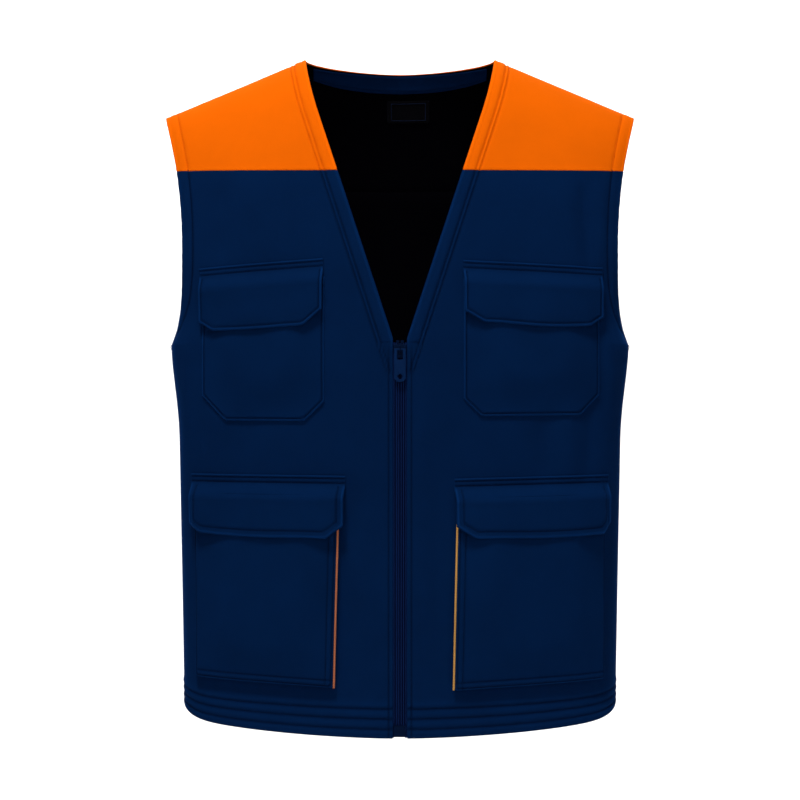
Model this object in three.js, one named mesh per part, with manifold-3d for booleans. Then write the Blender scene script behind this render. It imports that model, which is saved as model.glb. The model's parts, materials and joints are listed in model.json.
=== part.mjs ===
// A field vest, built from its separate sewn pieces: orange shoulder yokes, navy fronts and back,
// black lining, a separating front zip and four flapped pockets.
// Millimetres, +Z up, the front faces -Y. "left" and "right" are the wearer's: left is +X.
// Heights are measured up from the lowest point of the hem. The whole group is then lowered, so
// that the origin lies midway between the two neck points of the shoulders, where the vest hangs.
import * as THREE from 'three';
import { mergeVertices } from 'three/addons/utils/BufferGeometryUtils.js';
import Module from 'manifold-3d';

const wasm = await Module();
wasm.setup();

// Driving dimensions of the body of the vest.
const NECK_HEIGHT = 723;
const NECK_HALF_WIDTH = 103;
const SHOULDER_SLOPE = 0.4186;
const TIP_HALF_WIDTH = 253.5;
const UNDERARM_HEIGHT = 409;
const UNDERARM_HALF_WIDTH = 246;
const WAIST_HALF_WIDTH = 237;
const WAIST_HEIGHT = 320;
const SIDE_FLARE = { from: 310, to: 418 };
const HEM_HALF_WIDTH = 231;
const ARMHOLE_NARROWEST = { height: 505, halfWidth: 230 };
const ARMHOLE_DEPTH_SHARE = 0.8;
const ARMHOLE_CURL = 3.2;
const ARMHOLE_FLARE = { width: 23.5, height: 150 };
const YOKE_HEIGHT = 591;
const YOKE_RISE = { from: 480, rise: 4 };
const HEM_RISE = { upTo: 180, rise: 18 };
const BACK_NECK_DROP = 5;
const FRONT = { sign: -1, depth: 98, taper: 0.08, roundness: 5.5 };
const BACK = { sign: 1, depth: 92, taper: 0.03, roundness: 4.5 };
const ARCH_POWER = 2.4;
const FLAT_HALF_WIDTH = 22;
const SECTION_SPARE = 0.01;

// Neckline: a V whose edges run straight up from the top of the zip and steepen at the neck.
const V_BASE_HEIGHT = 408;
const V_BASE_HALF_WIDTH = 6;
const V_SLOPE = 0.329;
const V_CURVE_HEIGHT = 650;
const V_CURVE = 0.001146;

// Layers of cloth, as distances outward from the visible face of the shell.
const SHELL = { outer: 0, inner: -1.6 };
const TAPE = { outer: -2.0, inner: -2.8 };
const LINING = { outer: -3.2, inner: -4.2 };
const NECK_FACING = { outer: -5.5, inner: -6.4 };
const LABEL = { outer: -4.9, inner: -5.5 };
const SEAM_GAP = 0.3;
const YOKE_GAP = 0.5;
const FACING_GAP = 1;

// Rows and columns of the cloth panels.
const PANEL_ROWS = [0, 60, 130, 200, 270, 330, 380, 409, 413, 421, 433, 450, 480, 520, 556, YOKE_HEIGHT];
const ROW_STEPS = 60;
const FRONT_COLUMNS = [0, 0.043, 0.15, 0.27, 0.39, 0.51, 0.62, 0.71, 0.79, 0.86, 0.93, 1];
const FACING_COLUMNS = [0, 0.5, 1];
const BACK_HALF_COLUMNS = [0, 0.1, 0.28, 0.46, 0.62, 0.76, 0.88, 1];
const BACK_NECK_COLUMN = 3;
const YOKE_ROWS = [0, 0.24, 0.47, 0.67, 0.83, 0.94, 1];
const YOKE_COLUMNS = [0, 0.17, 0.34, 0.5, 0.67, 0.84, 1];

// Zip.
const ZIP_HALF_OPENING = 8;
const COIL = { inner: 0.8, outer: 3.4, front: 0.6, back: 2.9, bottom: 13, top: 408.6 };
const TOP_STOP = { outer: 4, bottom: 409, top: 412 };
const TAPE_GAP = 0.4;
const TAPE_EDGE = 20;
const TAPE_BOTTOM = 13;
const FACING_WIDTH = 26;
const SLIDER = {
  bottom: 393.5, top: 407.5, halfTop: 6.8, halfBottom: 5.2, corner: 2, thickness: 1.5, clearance: 0.4,
  post: { halfWidth: 0.45, bottom: 401.5, top: 406.5, sink: 0.2 },
};
const PULLER = { pivot: 402.5, pivotFront: 3.0, halfWidth: 6, length: 34, thickness: 1.5 };
const PULLER_SLOT = { halfWidth: 3.4, top: 401.5, bottom: 391.5 };
const PULLER_HOLE_RADIUS = 2.4;
const PULLER_END_STEPS = 8;
const BRIDGE = { halfWidth: 1.2, reach: 3.6, thick: 1, bar: 1.2, bottom: 398.2, top: 406.8 };
const BOX = { low: [-6.4, -1.2, 1.2], high: [5.6, 4.6, 12.6], socketFloor: 3, socketSpare: 2 };

// Pieces inside the back of the neck.
const NECK_BAND = {
  middle: 0, halfWidth: 74, drop: 1.5, height: 17, columns: [-1, -0.67, -0.33, 0, 0.33, 0.67, 1],
};
const NECK_LABEL = { middle: 9.5, halfWidth: 23, drop: 26, height: 24, columns: [-1, 0, 1] };

// Pockets, one entry for each: the flap's fold line, its corners and the bag below it.
const POCKETS = {
  left_chest: {
    side: 1, inner: 66, outer: 212, foldInner: 487, foldOuter: 481, flapDrop: 56,
    bagInset: 2, bagBottom: 332, bagRise: 0, chamfer: 20,
    mouthDepth: 13, midDepth: 15, baseDepth: 11, piping: false,
  },
  right_chest: {
    side: -1, inner: 80, outer: 210, foldInner: 489, foldOuter: 480, flapDrop: 59,
    bagInset: 3, bagBottom: 329, bagRise: 0, chamfer: 24,
    mouthDepth: 13, midDepth: 15, baseDepth: 11, piping: false,
  },
  left_cargo: {
    side: 1, inner: 57, outer: 219, foldInner: 260, foldOuter: 264, flapDrop: 54,
    bagInset: 5, bagBottom: 49, bagRise: 9, chamfer: 4,
    mouthDepth: 14, midDepth: 22, baseDepth: 18, piping: true,
  },
  right_cargo: {
    side: -1, inner: 57, outer: 219, foldInner: 263, foldOuter: 265, flapDrop: 55,
    bagInset: 5, bagBottom: 51, bagRise: 10, chamfer: 4,
    mouthDepth: 14, midDepth: 22, baseDepth: 18, piping: true,
  },
};
const CLOTH_REACH = 60;
const CLOTH_HALVINGS = 30;
const BAG_GAP = 1.4;
const BAG_FULLEST = 0.65;
const BAG_ROWS = [0, 0.2, 0.4, BAG_FULLEST, 0.85, 1];
const BAG_ROOM = { below: -12, above: 6 };
const BAG_WALL = 2;
const MOUTH_DROP = 11;
const FLAP_THICKNESS = 2;
const FLAP_CLEARANCE = 3.2;
const HEADING_HEIGHT = 8;
const FLAP_CHAMFER = 14;
const FLAP_ROWS = [0, 0.4, 0.7, 0.81, 0.9, 1];
const PATCH = { width: 64, height: 16, thickness: 0.9, gap: 0.35, aboveEdge: 16 };
const PIPING = { width: 3, aboveBottom: 2, belowMouth: 6 };

const ORANGE = { color: 0xf66900, roughness: 0.85, metalness: 0 };
const NAVY = { color: 0x001c41, roughness: 0.85, metalness: 0 };
const NAVY_TRIM = { color: 0x021e3c, roughness: 0.8, metalness: 0 };
const BLACK = { color: 0x050509, roughness: 0.9, metalness: 0 };
const COIL_PLASTIC = { color: 0x04162e, roughness: 0.5, metalness: 0 };
const PULL_PLASTIC = { color: 0x021c3c, roughness: 0.45, metalness: 0 };
const SLIDER_METAL = { color: 0x10151f, roughness: 0.45, metalness: 0.7 };
const HOOK_LOOP = { color: 0x06080e, roughness: 0.95, metalness: 0 };
const PIPING_ORANGE = { color: 0xc8641e, roughness: 0.8, metalness: 0 };

const group = new THREE.Group();
group.position.z = -NECK_HEIGHT;

const clamp = THREE.MathUtils.clamp;
const lerp = THREE.MathUtils.lerp;
const smoothstep = THREE.MathUtils.smoothstep;

// ---- The shape of the body of the vest ----

function shoulderLine(x) {
  return NECK_HEIGHT - SHOULDER_SLOPE * (Math.abs(x) - NECK_HALF_WIDTH);
}

// Half-width of the cloth at a height: the side seam below the armhole, its edge above.
function edgeX(height) {
  if (height <= UNDERARM_HEIGHT) {
    const waist = lerp(HEM_HALF_WIDTH, WAIST_HALF_WIDTH, clamp(height / WAIST_HEIGHT, 0, 1));
    const flare = smoothstep(height, SIDE_FLARE.from, SIDE_FLARE.to);
    return waist + (UNDERARM_HALF_WIDTH - WAIST_HALF_WIDTH) * flare;
  }
  const { height: narrowest, halfWidth } = ARMHOLE_NARROWEST;
  if (height < narrowest) {
    const t = (narrowest - height) / (narrowest - UNDERARM_HEIGHT);
    return halfWidth + (UNDERARM_HALF_WIDTH - halfWidth) * t ** ARMHOLE_CURL;
  }
  return halfWidth + ARMHOLE_FLARE.width * ((height - narrowest) / ARMHOLE_FLARE.height) ** 2;
}

// Half-width of the full cross-section, of which the armhole's edge cuts off the side.
function sectionHalfWidth(height, face) {
  const edge = edgeX(height);
  if (height <= UNDERARM_HEIGHT) {
    return edge + SECTION_SPARE;
  }
  const { height: narrowest } = ARMHOLE_NARROWEST;
  const t = clamp((narrowest - height) / (narrowest - UNDERARM_HEIGHT), 0, 1);
  const share = ARMHOLE_DEPTH_SHARE * Math.sqrt(1 - t * t);
  return edge / (1 - share ** face.roundness) ** (1 / face.roundness) + SECTION_SPARE;
}

// The y of the visible face of the shell, at a place and height.
function bodyY(x, height, face) {
  const across = clamp(Math.abs(x) / sectionHalfWidth(height, face), 0, 1);
  const oval = (1 - across ** face.roundness) ** (1 / face.roundness);
  const depth = (face.depth - face.taper * Math.max(0, Math.abs(x) - FLAT_HALF_WIDTH)) * oval;
  const rise = clamp((height - UNDERARM_HEIGHT) / (shoulderLine(x) - UNDERARM_HEIGHT), 0, 1);
  return face.sign * depth * Math.sqrt(Math.max(0, 1 - rise ** ARCH_POWER));
}

function neckEdgeX(height) {
  const straight = V_BASE_HALF_WIDTH + V_SLOPE * (height - V_BASE_HEIGHT);
  return straight - V_CURVE * Math.max(0, height - V_CURVE_HEIGHT) ** 2;
}

function frontEdgeX(height) {
  return Math.max(ZIP_HALF_OPENING, neckEdgeX(height));
}

// The hem rises towards the sides, and so does the yoke's seam.
function clothHeight(height, x) {
  const share = (Math.abs(x) / WAIST_HALF_WIDTH) ** 2;
  const hem = HEM_RISE.rise * share * Math.max(0, 1 - height / HEM_RISE.upTo) ** 2;
  const yoke = YOKE_RISE.rise * share * smoothstep(height, YOKE_RISE.from, YOKE_HEIGHT);
  return height + hem + yoke;
}

function spread(from, to, count) {
  return Array.from({ length: count + 1 }, (_, k) => lerp(from, to, k / count));
}

// Points spread along one row of cloth, from one x to another, in the shares given. The row is
// measured in steps that shorten towards the side, where the cloth turns most.
function rowPoints(height, from, to, shares, face) {
  const line = [];
  let length = 0;
  for (let k = 0; k <= ROW_STEPS; k += 1) {
    const x = to - (to - from) * (1 - k / ROW_STEPS) ** 3;
    const y = bodyY(x, height, face);
    if (k > 0) {
      length += Math.hypot(x - line[k - 1].x, y - line[k - 1].y);
    }
    line.push({ x, y, length });
  }
  return shares.map((share) => {
    const wanted = share * length;
    let k = 1;
    while (k < ROW_STEPS && line[k].length < wanted) {
      k += 1;
    }
    const a = line[k - 1];
    const b = line[k];
    const x = lerp(a.x, b.x, (wanted - a.length) / (b.length - a.length));
    const z = clothHeight(height, x);
    return new THREE.Vector3(x, bodyY(x, z, face), z);
  });
}

// ---- Closed solids from grids of points ----

function solidFromTriangles(positions, indices) {
  const geometry = new THREE.BufferGeometry();
  geometry.setAttribute('position', new THREE.Float32BufferAttribute(positions, 3));
  let volume = 0;
  const [a, b, c] = [new THREE.Vector3(), new THREE.Vector3(), new THREE.Vector3()];
  for (let k = 0; k < indices.length; k += 3) {
    a.fromArray(positions, 3 * indices[k]);
    b.fromArray(positions, 3 * indices[k + 1]);
    c.fromArray(positions, 3 * indices[k + 2]);
    volume += a.dot(b.cross(c)) / 6;
  }
  if (volume < 0) {
    for (let k = 0; k < indices.length; k += 3) {
      [indices[k], indices[k + 1]] = [indices[k + 1], indices[k]];
    }
  }
  geometry.setIndex(indices);
  geometry.computeVertexNormals();
  return geometry;
}

// Two grids of the same size, joined round their rims into one closed body.
function slab(frontGrid, backGrid) {
  const rows = frontGrid.length;
  const columns = frontGrid[0].length;
  const positions = [];
  const indices = [];
  for (const grid of [frontGrid, backGrid]) {
    for (const row of grid) {
      for (const point of row) {
        positions.push(point.x, point.y, point.z);
      }
    }
  }
  const at = (layer, i, j) => layer * rows * columns + i * columns + j;
  const quad = (p, q, r, s) => indices.push(p, q, r, p, r, s);
  for (let i = 0; i + 1 < rows; i += 1) {
    for (let j = 0; j + 1 < columns; j += 1) {
      quad(at(0, i, j), at(0, i, j + 1), at(0, i + 1, j + 1), at(0, i + 1, j));
      quad(at(1, i, j), at(1, i + 1, j), at(1, i + 1, j + 1), at(1, i, j + 1));
    }
  }
  for (let j = 0; j + 1 < columns; j += 1) {
    quad(at(0, 0, j), at(1, 0, j), at(1, 0, j + 1), at(0, 0, j + 1));
    quad(at(0, rows - 1, j), at(0, rows - 1, j + 1), at(1, rows - 1, j + 1), at(1, rows - 1, j));
  }
  for (let i = 0; i + 1 < rows; i += 1) {
    const j = columns - 1;
    quad(at(0, i, 0), at(0, i + 1, 0), at(1, i + 1, 0), at(1, i, 0));
    quad(at(0, i, j), at(1, i, j), at(1, i + 1, j), at(0, i + 1, j));
  }
  return solidFromTriangles(positions, indices);
}

// Outward directions of a grid of cloth. `square` names the end rows and columns that stand square
// in their seams, where the next piece of cloth meets them edge to edge.
function gridNormals(grid, face, square) {
  const lastRow = grid.length - 1;
  const lastColumn = grid[0].length - 1;
  return grid.map((row, i) => row.map((point, j) => {
    if ((square.first && j === 0) || (square.last && j === lastColumn)) {
      return new THREE.Vector3(Math.sign(point.x), 0, 0);
    }
    const along = row[Math.min(j + 1, lastColumn)].clone().sub(row[Math.max(j - 1, 0)]);
    const up = grid[Math.min(i + 1, lastRow)][j].clone().sub(grid[Math.max(i - 1, 0)][j]);
    const normal = along.cross(up);
    if ((square.bottom && i === 0) || (square.top && i === lastRow)) {
      normal.z = 0;
    }
    normal.normalize();
    return normal.multiplyScalar(Math.sign(normal.y * face.sign) || 1);
  }));
}

function clothSolid(grid, normals, layer) {
  const offset = (distance) => grid.map((row, i) => row.map((point, j) => (
    point.clone().addScaledVector(normals[i][j], distance))));
  return slab(offset(layer.outer), offset(layer.inner));
}

function addMesh(name, geometry, look) {
  const mesh = new THREE.Mesh(geometry, new THREE.MeshStandardMaterial(look));
  mesh.name = name;
  group.add(mesh);
  return mesh;
}

// A block between two corners, for small straight pieces.
function block(low, high) {
  const size = high.map((value, k) => value - low[k]);
  const geometry = new THREE.BoxGeometry(...size);
  geometry.translate(...low.map((value, k) => value + size[k] / 2));
  return geometry;
}

function toManifold(geometry) {
  const bare = geometry.clone();
  bare.deleteAttribute('normal');
  bare.deleteAttribute('uv');
  const merged = mergeVertices(bare, 1e-4);
  const vertProperties = new Float32Array(merged.attributes.position.array);
  const triVerts = new Uint32Array(merged.index.array);
  return new wasm.Manifold(new wasm.Mesh({ numProp: 3, vertProperties, triVerts }));
}

function fromManifold(solid) {
  const mesh = solid.getMesh();
  const geometry = new THREE.BufferGeometry();
  geometry.setAttribute('position', new THREE.Float32BufferAttribute(mesh.vertProperties, 3));
  geometry.setIndex(new THREE.BufferAttribute(new Uint32Array(mesh.triVerts), 1));
  geometry.computeVertexNormals();
  return geometry;
}

// ---- Panels ----

// A front's grid: rows up from the hem, columns from the front edge out to the side.
function frontGrid(side, fromX, toX, shares) {
  return PANEL_ROWS.map((height) => {
    const row = rowPoints(height, fromX(height), toX(height), shares, FRONT);
    for (const point of row) {
      point.x *= side;
    }
    return row;
  });
}

// Below the armhole a front stops just short of the back, at the side seam.
function trimAtSideSeam(grid) {
  PANEL_ROWS.forEach((height, i) => {
    if (height <= UNDERARM_HEIGHT) {
      grid[i][grid[i].length - 1].y = -SEAM_GAP;
    }
  });
}

function addFront(name, side) {
  const toSide = { bottom: true, top: true, last: true };
  const panel = frontGrid(side, frontEdgeX, edgeX, FRONT_COLUMNS);
  trimAtSideSeam(panel);
  addMesh(`${name}_front_panel`, clothSolid(panel, gridNormals(panel, FRONT, toSide), SHELL), NAVY);

  const facingOuter = (height) => frontEdgeX(height) + FACING_WIDTH;
  const liningInner = (height) => facingOuter(height) + SEAM_GAP;
  const lining = frontGrid(side, liningInner, edgeX, FRONT_COLUMNS);
  trimAtSideSeam(lining);
  const liningNormals = gridNormals(lining, FRONT, toSide);
  addMesh(`${name}_front_lining`, clothSolid(lining, liningNormals, LINING), BLACK);

  const facingInner = (height) => frontEdgeX(height) + FACING_GAP;
  const facing = frontGrid(side, facingInner, facingOuter, FACING_COLUMNS);
  const facingNormals = gridNormals(facing, FRONT, { bottom: true, top: true });
  addMesh(`${name}_front_facing`, clothSolid(facing, facingNormals, LINING), NAVY_TRIM);
}

// Yoke grids rise from the yoke's seam to the shoulder; `share` 0 is the seam, 1 the shoulder.
function yokeHeight(share, topHeight) {
  return YOKE_HEIGHT + (topHeight - YOKE_HEIGHT) * Math.sin(share * Math.PI / 2);
}

function frontYokeGrid(side) {
  return YOKE_ROWS.map((share) => {
    const innerHeight = yokeHeight(share, NECK_HEIGHT);
    const outerHeight = yokeHeight(share, shoulderLine(TIP_HALF_WIDTH));
    const fromX = neckEdgeX(innerHeight);
    const toX = edgeX(outerHeight);
    return YOKE_COLUMNS.map((column) => {
      const topX = lerp(NECK_HALF_WIDTH, TIP_HALF_WIDTH, column);
      const x = lerp(fromX, toX, column);
      const level = yokeHeight(share, shoulderLine(topX));
      const z = share === 1 ? shoulderLine(x) : clothHeight(level, x * (1 - share));
      const y = share === 1 ? -SEAM_GAP : bodyY(x, z, FRONT) - SEAM_GAP;
      return new THREE.Vector3(side * x, y, z + (share === 0 ? YOKE_GAP : 0));
    });
  });
}

function addFrontYoke(name, side) {
  const grid = frontYokeGrid(side);
  const normals = gridNormals(grid, FRONT, { bottom: true });
  for (const normal of normals[normals.length - 1]) {
    normal.set(SHOULDER_SLOPE * side, 0, 1).normalize();
  }
  addMesh(`${name}_front_yoke`, clothSolid(grid, normals, SHELL), ORANGE);
  addMesh(`${name}_yoke_lining`, clothSolid(grid, normals, LINING), BLACK);
}

// The back's neckline dips a little below the two neck points.
function backTop(x) {
  const inside = clamp(Math.abs(x) / NECK_HALF_WIDTH, 0, 1);
  const neckline = NECK_HEIGHT - BACK_NECK_DROP * (1 - inside ** 2);
  return Math.abs(x) < NECK_HALF_WIDTH ? neckline : shoulderLine(x);
}

// A row of the back from its middle outward, with its mirror image before it.
function mirrorRow(row) {
  const mirrored = row.slice(1).reverse();
  return [...mirrored.map((point) => new THREE.Vector3(-point.x, point.y, point.z)), ...row];
}

function backPanelGrid() {
  return PANEL_ROWS.map((height) => {
    const row = rowPoints(height, 0, edgeX(height), BACK_HALF_COLUMNS, BACK);
    if (height <= UNDERARM_HEIGHT) {
      row[row.length - 1].y = SEAM_GAP;
    }
    return mirrorRow(row);
  });
}

// The neck's two points lie on columns of their own, so that the neckline keeps its corners.
function backYokeGrid(panelTop) {
  const halfColumns = panelTop.slice(BACK_HALF_COLUMNS.length - 1);
  const last = halfColumns.length - 1;
  const half = halfColumns[last].x;
  const topX = (j) => {
    if (j <= BACK_NECK_COLUMN) {
      return NECK_HALF_WIDTH * j / BACK_NECK_COLUMN;
    }
    const share = (j - BACK_NECK_COLUMN) / (last - BACK_NECK_COLUMN);
    return lerp(NECK_HALF_WIDTH, TIP_HALF_WIDTH, share);
  };
  return YOKE_ROWS.map((share) => {
    const outer = edgeX(yokeHeight(share, shoulderLine(TIP_HALF_WIDTH)));
    const raised = Math.sin(share * Math.PI / 2);
    const row = halfColumns.map((start, j) => {
      const x = lerp(start.x * outer / half, topX(j), share ** 1.5);
      const z = lerp(start.z, backTop(topX(j)), raised);
      const onShoulder = share === 1 && j >= BACK_NECK_COLUMN;
      const y = onShoulder ? SEAM_GAP : bodyY(x, z, BACK) + SEAM_GAP;
      return new THREE.Vector3(x, y, z + (share === 0 ? YOKE_GAP : 0));
    });
    return mirrorRow(row);
  });
}

function addBack() {
  const panel = backPanelGrid();
  const toSides = { bottom: true, top: true, first: true, last: true };
  const normals = gridNormals(panel, BACK, toSides);
  addMesh('back_panel', clothSolid(panel, normals, SHELL), NAVY);
  addMesh('back_lining', clothSolid(panel, normals, LINING), BLACK);

  const yoke = backYokeGrid(panel[panel.length - 1]);
  const yokeNormals = gridNormals(yoke, BACK, { bottom: true });
  const last = yoke.length - 1;
  yoke[last].forEach((point, j) => {
    if (Math.abs(point.x) >= NECK_HALF_WIDTH - SECTION_SPARE) {
      yokeNormals[last][j].set(SHOULDER_SLOPE * Math.sign(point.x), 0, 1).normalize();
    }
  });
  addMesh('back_yoke', clothSolid(yoke, yokeNormals, SHELL), ORANGE);
  addMesh('back_yoke_lining', clothSolid(yoke, yokeNormals, LINING), BLACK);
}

// The band that finishes the inside of the back neckline, and the blank label sewn below it.
function addNeckPieces() {
  const strip = ({ middle, halfWidth, drop, height, columns }) => [height, 0].map((down) => (
    columns.map((share) => {
      const x = middle + halfWidth * share;
      const z = backTop(x) - drop - down;
      return new THREE.Vector3(x, bodyY(x, z, BACK), z);
    })));
  const band = strip(NECK_BAND);
  addMesh('neck_facing', clothSolid(band, gridNormals(band, BACK, {}), NECK_FACING), NAVY_TRIM);
  const label = strip(NECK_LABEL);
  addMesh('neck_label', clothSolid(label, gridNormals(label, BACK, {}), LABEL), BLACK);
}

// ---- Zip ----

function addZipSide(name, side) {
  const face = -FRONT.depth;
  const bar = (outer, bottom, top) => {
    const [low, high] = [side * COIL.inner, side * outer].sort((a, b) => a - b);
    return block([low, face + COIL.front, bottom], [high, face + COIL.back, top]);
  };
  addMesh(`${name}_zip_coil`, bar(COIL.outer, COIL.bottom, COIL.top), COIL_PLASTIC);
  addMesh(`${name}_top_stop`, bar(TOP_STOP.outer, TOP_STOP.bottom, TOP_STOP.top), SLIDER_METAL);

  const heights = spread(TAPE_BOTTOM, COIL.top, 4);
  const tape = heights.map((height) => [COIL.outer + TAPE_GAP, TAPE_EDGE].map((x) => (
    new THREE.Vector3(side * x, face, height))));
  const normals = tape.map((row) => row.map(() => new THREE.Vector3(0, -1, 0)));
  addMesh(`${name}_zip_tape`, clothSolid(tape, normals, TAPE), NAVY_TRIM);
}

// A flat outline in x and z, made into a plate between two distances behind the zip's face.
function plate(outline, near, far) {
  const shape = new THREE.Shape(outline.map(([x, z]) => new THREE.Vector2(x, z)));
  const geometry = new THREE.ExtrudeGeometry(shape, { depth: far - near, bevelEnabled: false });
  geometry.rotateX(Math.PI / 2);
  geometry.translate(0, -FRONT.depth + far, 0);
  return geometry;
}

function addSlider() {
  const { bottom, top, halfTop, halfBottom, corner, thickness, post, clearance } = SLIDER;
  const middle = (bottom + top) / 2;
  const outline = [
    [-halfBottom, bottom], [halfBottom, bottom], [halfTop, middle], [halfTop, top - corner],
    [halfTop - corner, top], [corner - halfTop, top], [-halfTop, top - corner], [-halfTop, middle],
  ];
  const front = COIL.front - clearance;
  const back = COIL.back + clearance;
  const face = -FRONT.depth;
  const pieces = [
    plate(outline, front - thickness, front),
    plate(outline, back, back + thickness),
    block([-post.halfWidth, face + front - post.sink, post.bottom],
      [post.halfWidth, face + back + post.sink, post.top]),
  ];
  const body = pieces.map(toManifold).reduce((sum, piece) => sum.add(piece));
  addMesh('slider_body', fromManifold(body), SLIDER_METAL);

  // The bridge on the slider's face that the pull's crossbar turns under.
  const { halfWidth, reach, thick, bar } = BRIDGE;
  const foot = face + front - thickness - SEAM_GAP;
  const arch = foot - reach;
  const legs = [
    block([-halfWidth, arch, BRIDGE.bottom], [halfWidth, arch + thick, BRIDGE.top]),
    block([-halfWidth, arch, BRIDGE.bottom], [halfWidth, foot, BRIDGE.bottom + bar]),
    block([-halfWidth, arch, BRIDGE.top - bar], [halfWidth, foot, BRIDGE.top]),
  ];
  const bridge = legs.map(toManifold).reduce((sum, leg) => sum.add(leg));
  addMesh('slider_bridge', fromManifold(bridge), SLIDER_METAL);
}

function addPuller() {
  const { pivot, pivotFront, halfWidth, length, thickness } = PULLER;
  const top = pivot + thickness / 2;
  const endCentre = pivot - length + halfWidth;
  const outline = [[-halfWidth, top], [-halfWidth, endCentre]];
  for (let k = 1; k < PULLER_END_STEPS; k += 1) {
    const angle = Math.PI * (1 + k / PULLER_END_STEPS);
    outline.push([halfWidth * Math.cos(angle), endCentre + halfWidth * Math.sin(angle)]);
  }
  outline.push([halfWidth, endCentre], [halfWidth, top]);
  const shape = new THREE.Shape(outline.map(([x, z]) => new THREE.Vector2(x, z)));
  const slot = [
    [-PULLER_SLOT.halfWidth, PULLER_SLOT.bottom], [PULLER_SLOT.halfWidth, PULLER_SLOT.bottom],
    [PULLER_SLOT.halfWidth, PULLER_SLOT.top], [-PULLER_SLOT.halfWidth, PULLER_SLOT.top],
  ];
  shape.holes.push(new THREE.Path(slot.map(([x, z]) => new THREE.Vector2(x, z))));
  const hole = new THREE.Path();
  hole.absarc(0, endCentre, PULLER_HOLE_RADIUS, 0, 2 * Math.PI);
  shape.holes.push(hole);
  const geometry = new THREE.ExtrudeGeometry(shape, { depth: thickness, bevelEnabled: false });
  geometry.rotateX(Math.PI / 2);
  geometry.translate(0, -FRONT.depth - pivotFront + thickness / 2, 0);
  addMesh('zip_puller', geometry, PULL_PLASTIC);
}

// The slider's side of the zip ends in a box. The other side's pin stands in it, and leaves it by
// the open side.
function addZipEnds() {
  const atZip = ([x, y, z]) => [x, y - FRONT.depth, z];
  const outside = block(atZip(BOX.low), atZip(BOX.high));
  const socket = block(atZip([COIL.inner - SEAM_GAP, COIL.front - SEAM_GAP, BOX.socketFloor]),
    atZip([BOX.high[0] + BOX.socketSpare, COIL.back + SEAM_GAP, BOX.high[2] + BOX.socketSpare]));
  const box = toManifold(outside).subtract(toManifold(socket));
  addMesh('retainer_box', fromManifold(box), PULL_PLASTIC);
  const pin = block(atZip([COIL.inner, COIL.front, BOX.socketFloor + SEAM_GAP]),
    atZip([COIL.outer, COIL.back, COIL.bottom - SEAM_GAP]));
  addMesh('insertion_pin', pin, COIL_PLASTIC);
}

// ---- Pockets ----

// A pocket's own frame: u runs outward along the vest, v is height, w stands off the cloth.
function pocketFrame(pocket) {
  const middleHeight = (pocket.foldInner + pocket.foldOuter) / 2;
  const inner = new THREE.Vector2(pocket.inner, bodyY(pocket.inner, middleHeight, FRONT));
  const outer = new THREE.Vector2(pocket.outer, bodyY(pocket.outer, middleHeight, FRONT));
  const along = outer.clone().sub(inner);
  const width = along.length();
  along.normalize();
  const out = new THREE.Vector2(along.y, -along.x);
  const place = (u, v, w) => {
    const x = inner.x + along.x * u + out.x * w;
    const y = inner.y + along.y * u + out.y * w;
    return new THREE.Vector3(pocket.side * x, y, v);
  };
  // How far the cloth stands off the pocket's base line, found by closing in on the surface.
  const cloth = (u, v) => {
    let low = -CLOTH_REACH;
    let high = CLOTH_REACH;
    for (let k = 0; k < CLOTH_HALVINGS; k += 1) {
      const w = (low + high) / 2;
      const point = place(u, v, w);
      if (point.y < bodyY(point.x, v, FRONT)) {
        high = w;
      } else {
        low = w;
      }
    }
    return (low + high) / 2;
  };
  const fold = (u) => lerp(pocket.foldInner, pocket.foldOuter, u / width);
  return { width, place, cloth, fold };
}

// A block of cloth or of air, from one standing-off distance to another, over a pocket's outline.
function pocketBlock(frame, columns, rows, bottomOf, topOf, near, far) {
  const grid = (distance) => rows.map((row) => columns.map((u) => {
    const v = lerp(bottomOf(u), topOf(u), row);
    return frame.place(u, v, frame.cloth(u, v) + distance(u, v));
  }));
  return slab(grid(far), grid(near));
}

// Columns across a piece whose lower corners are cut off.
function cutCorners(low, high, size) {
  return [low, ...spread(low + size, high - size, 4), high];
}

// How far the bag stands off the cloth at a height: fullest some way below its mouth.
function bagDepth(pocket, v) {
  const mouth = Math.min(pocket.foldInner, pocket.foldOuter) - MOUTH_DROP;
  const share = clamp((mouth - v) / (mouth - pocket.bagBottom), 0, 1);
  if (share < BAG_FULLEST) {
    return lerp(pocket.mouthDepth, pocket.midDepth, smoothstep(share, 0, BAG_FULLEST));
  }
  return lerp(pocket.midDepth, pocket.baseDepth, smoothstep(share, BAG_FULLEST, 1));
}

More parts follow.
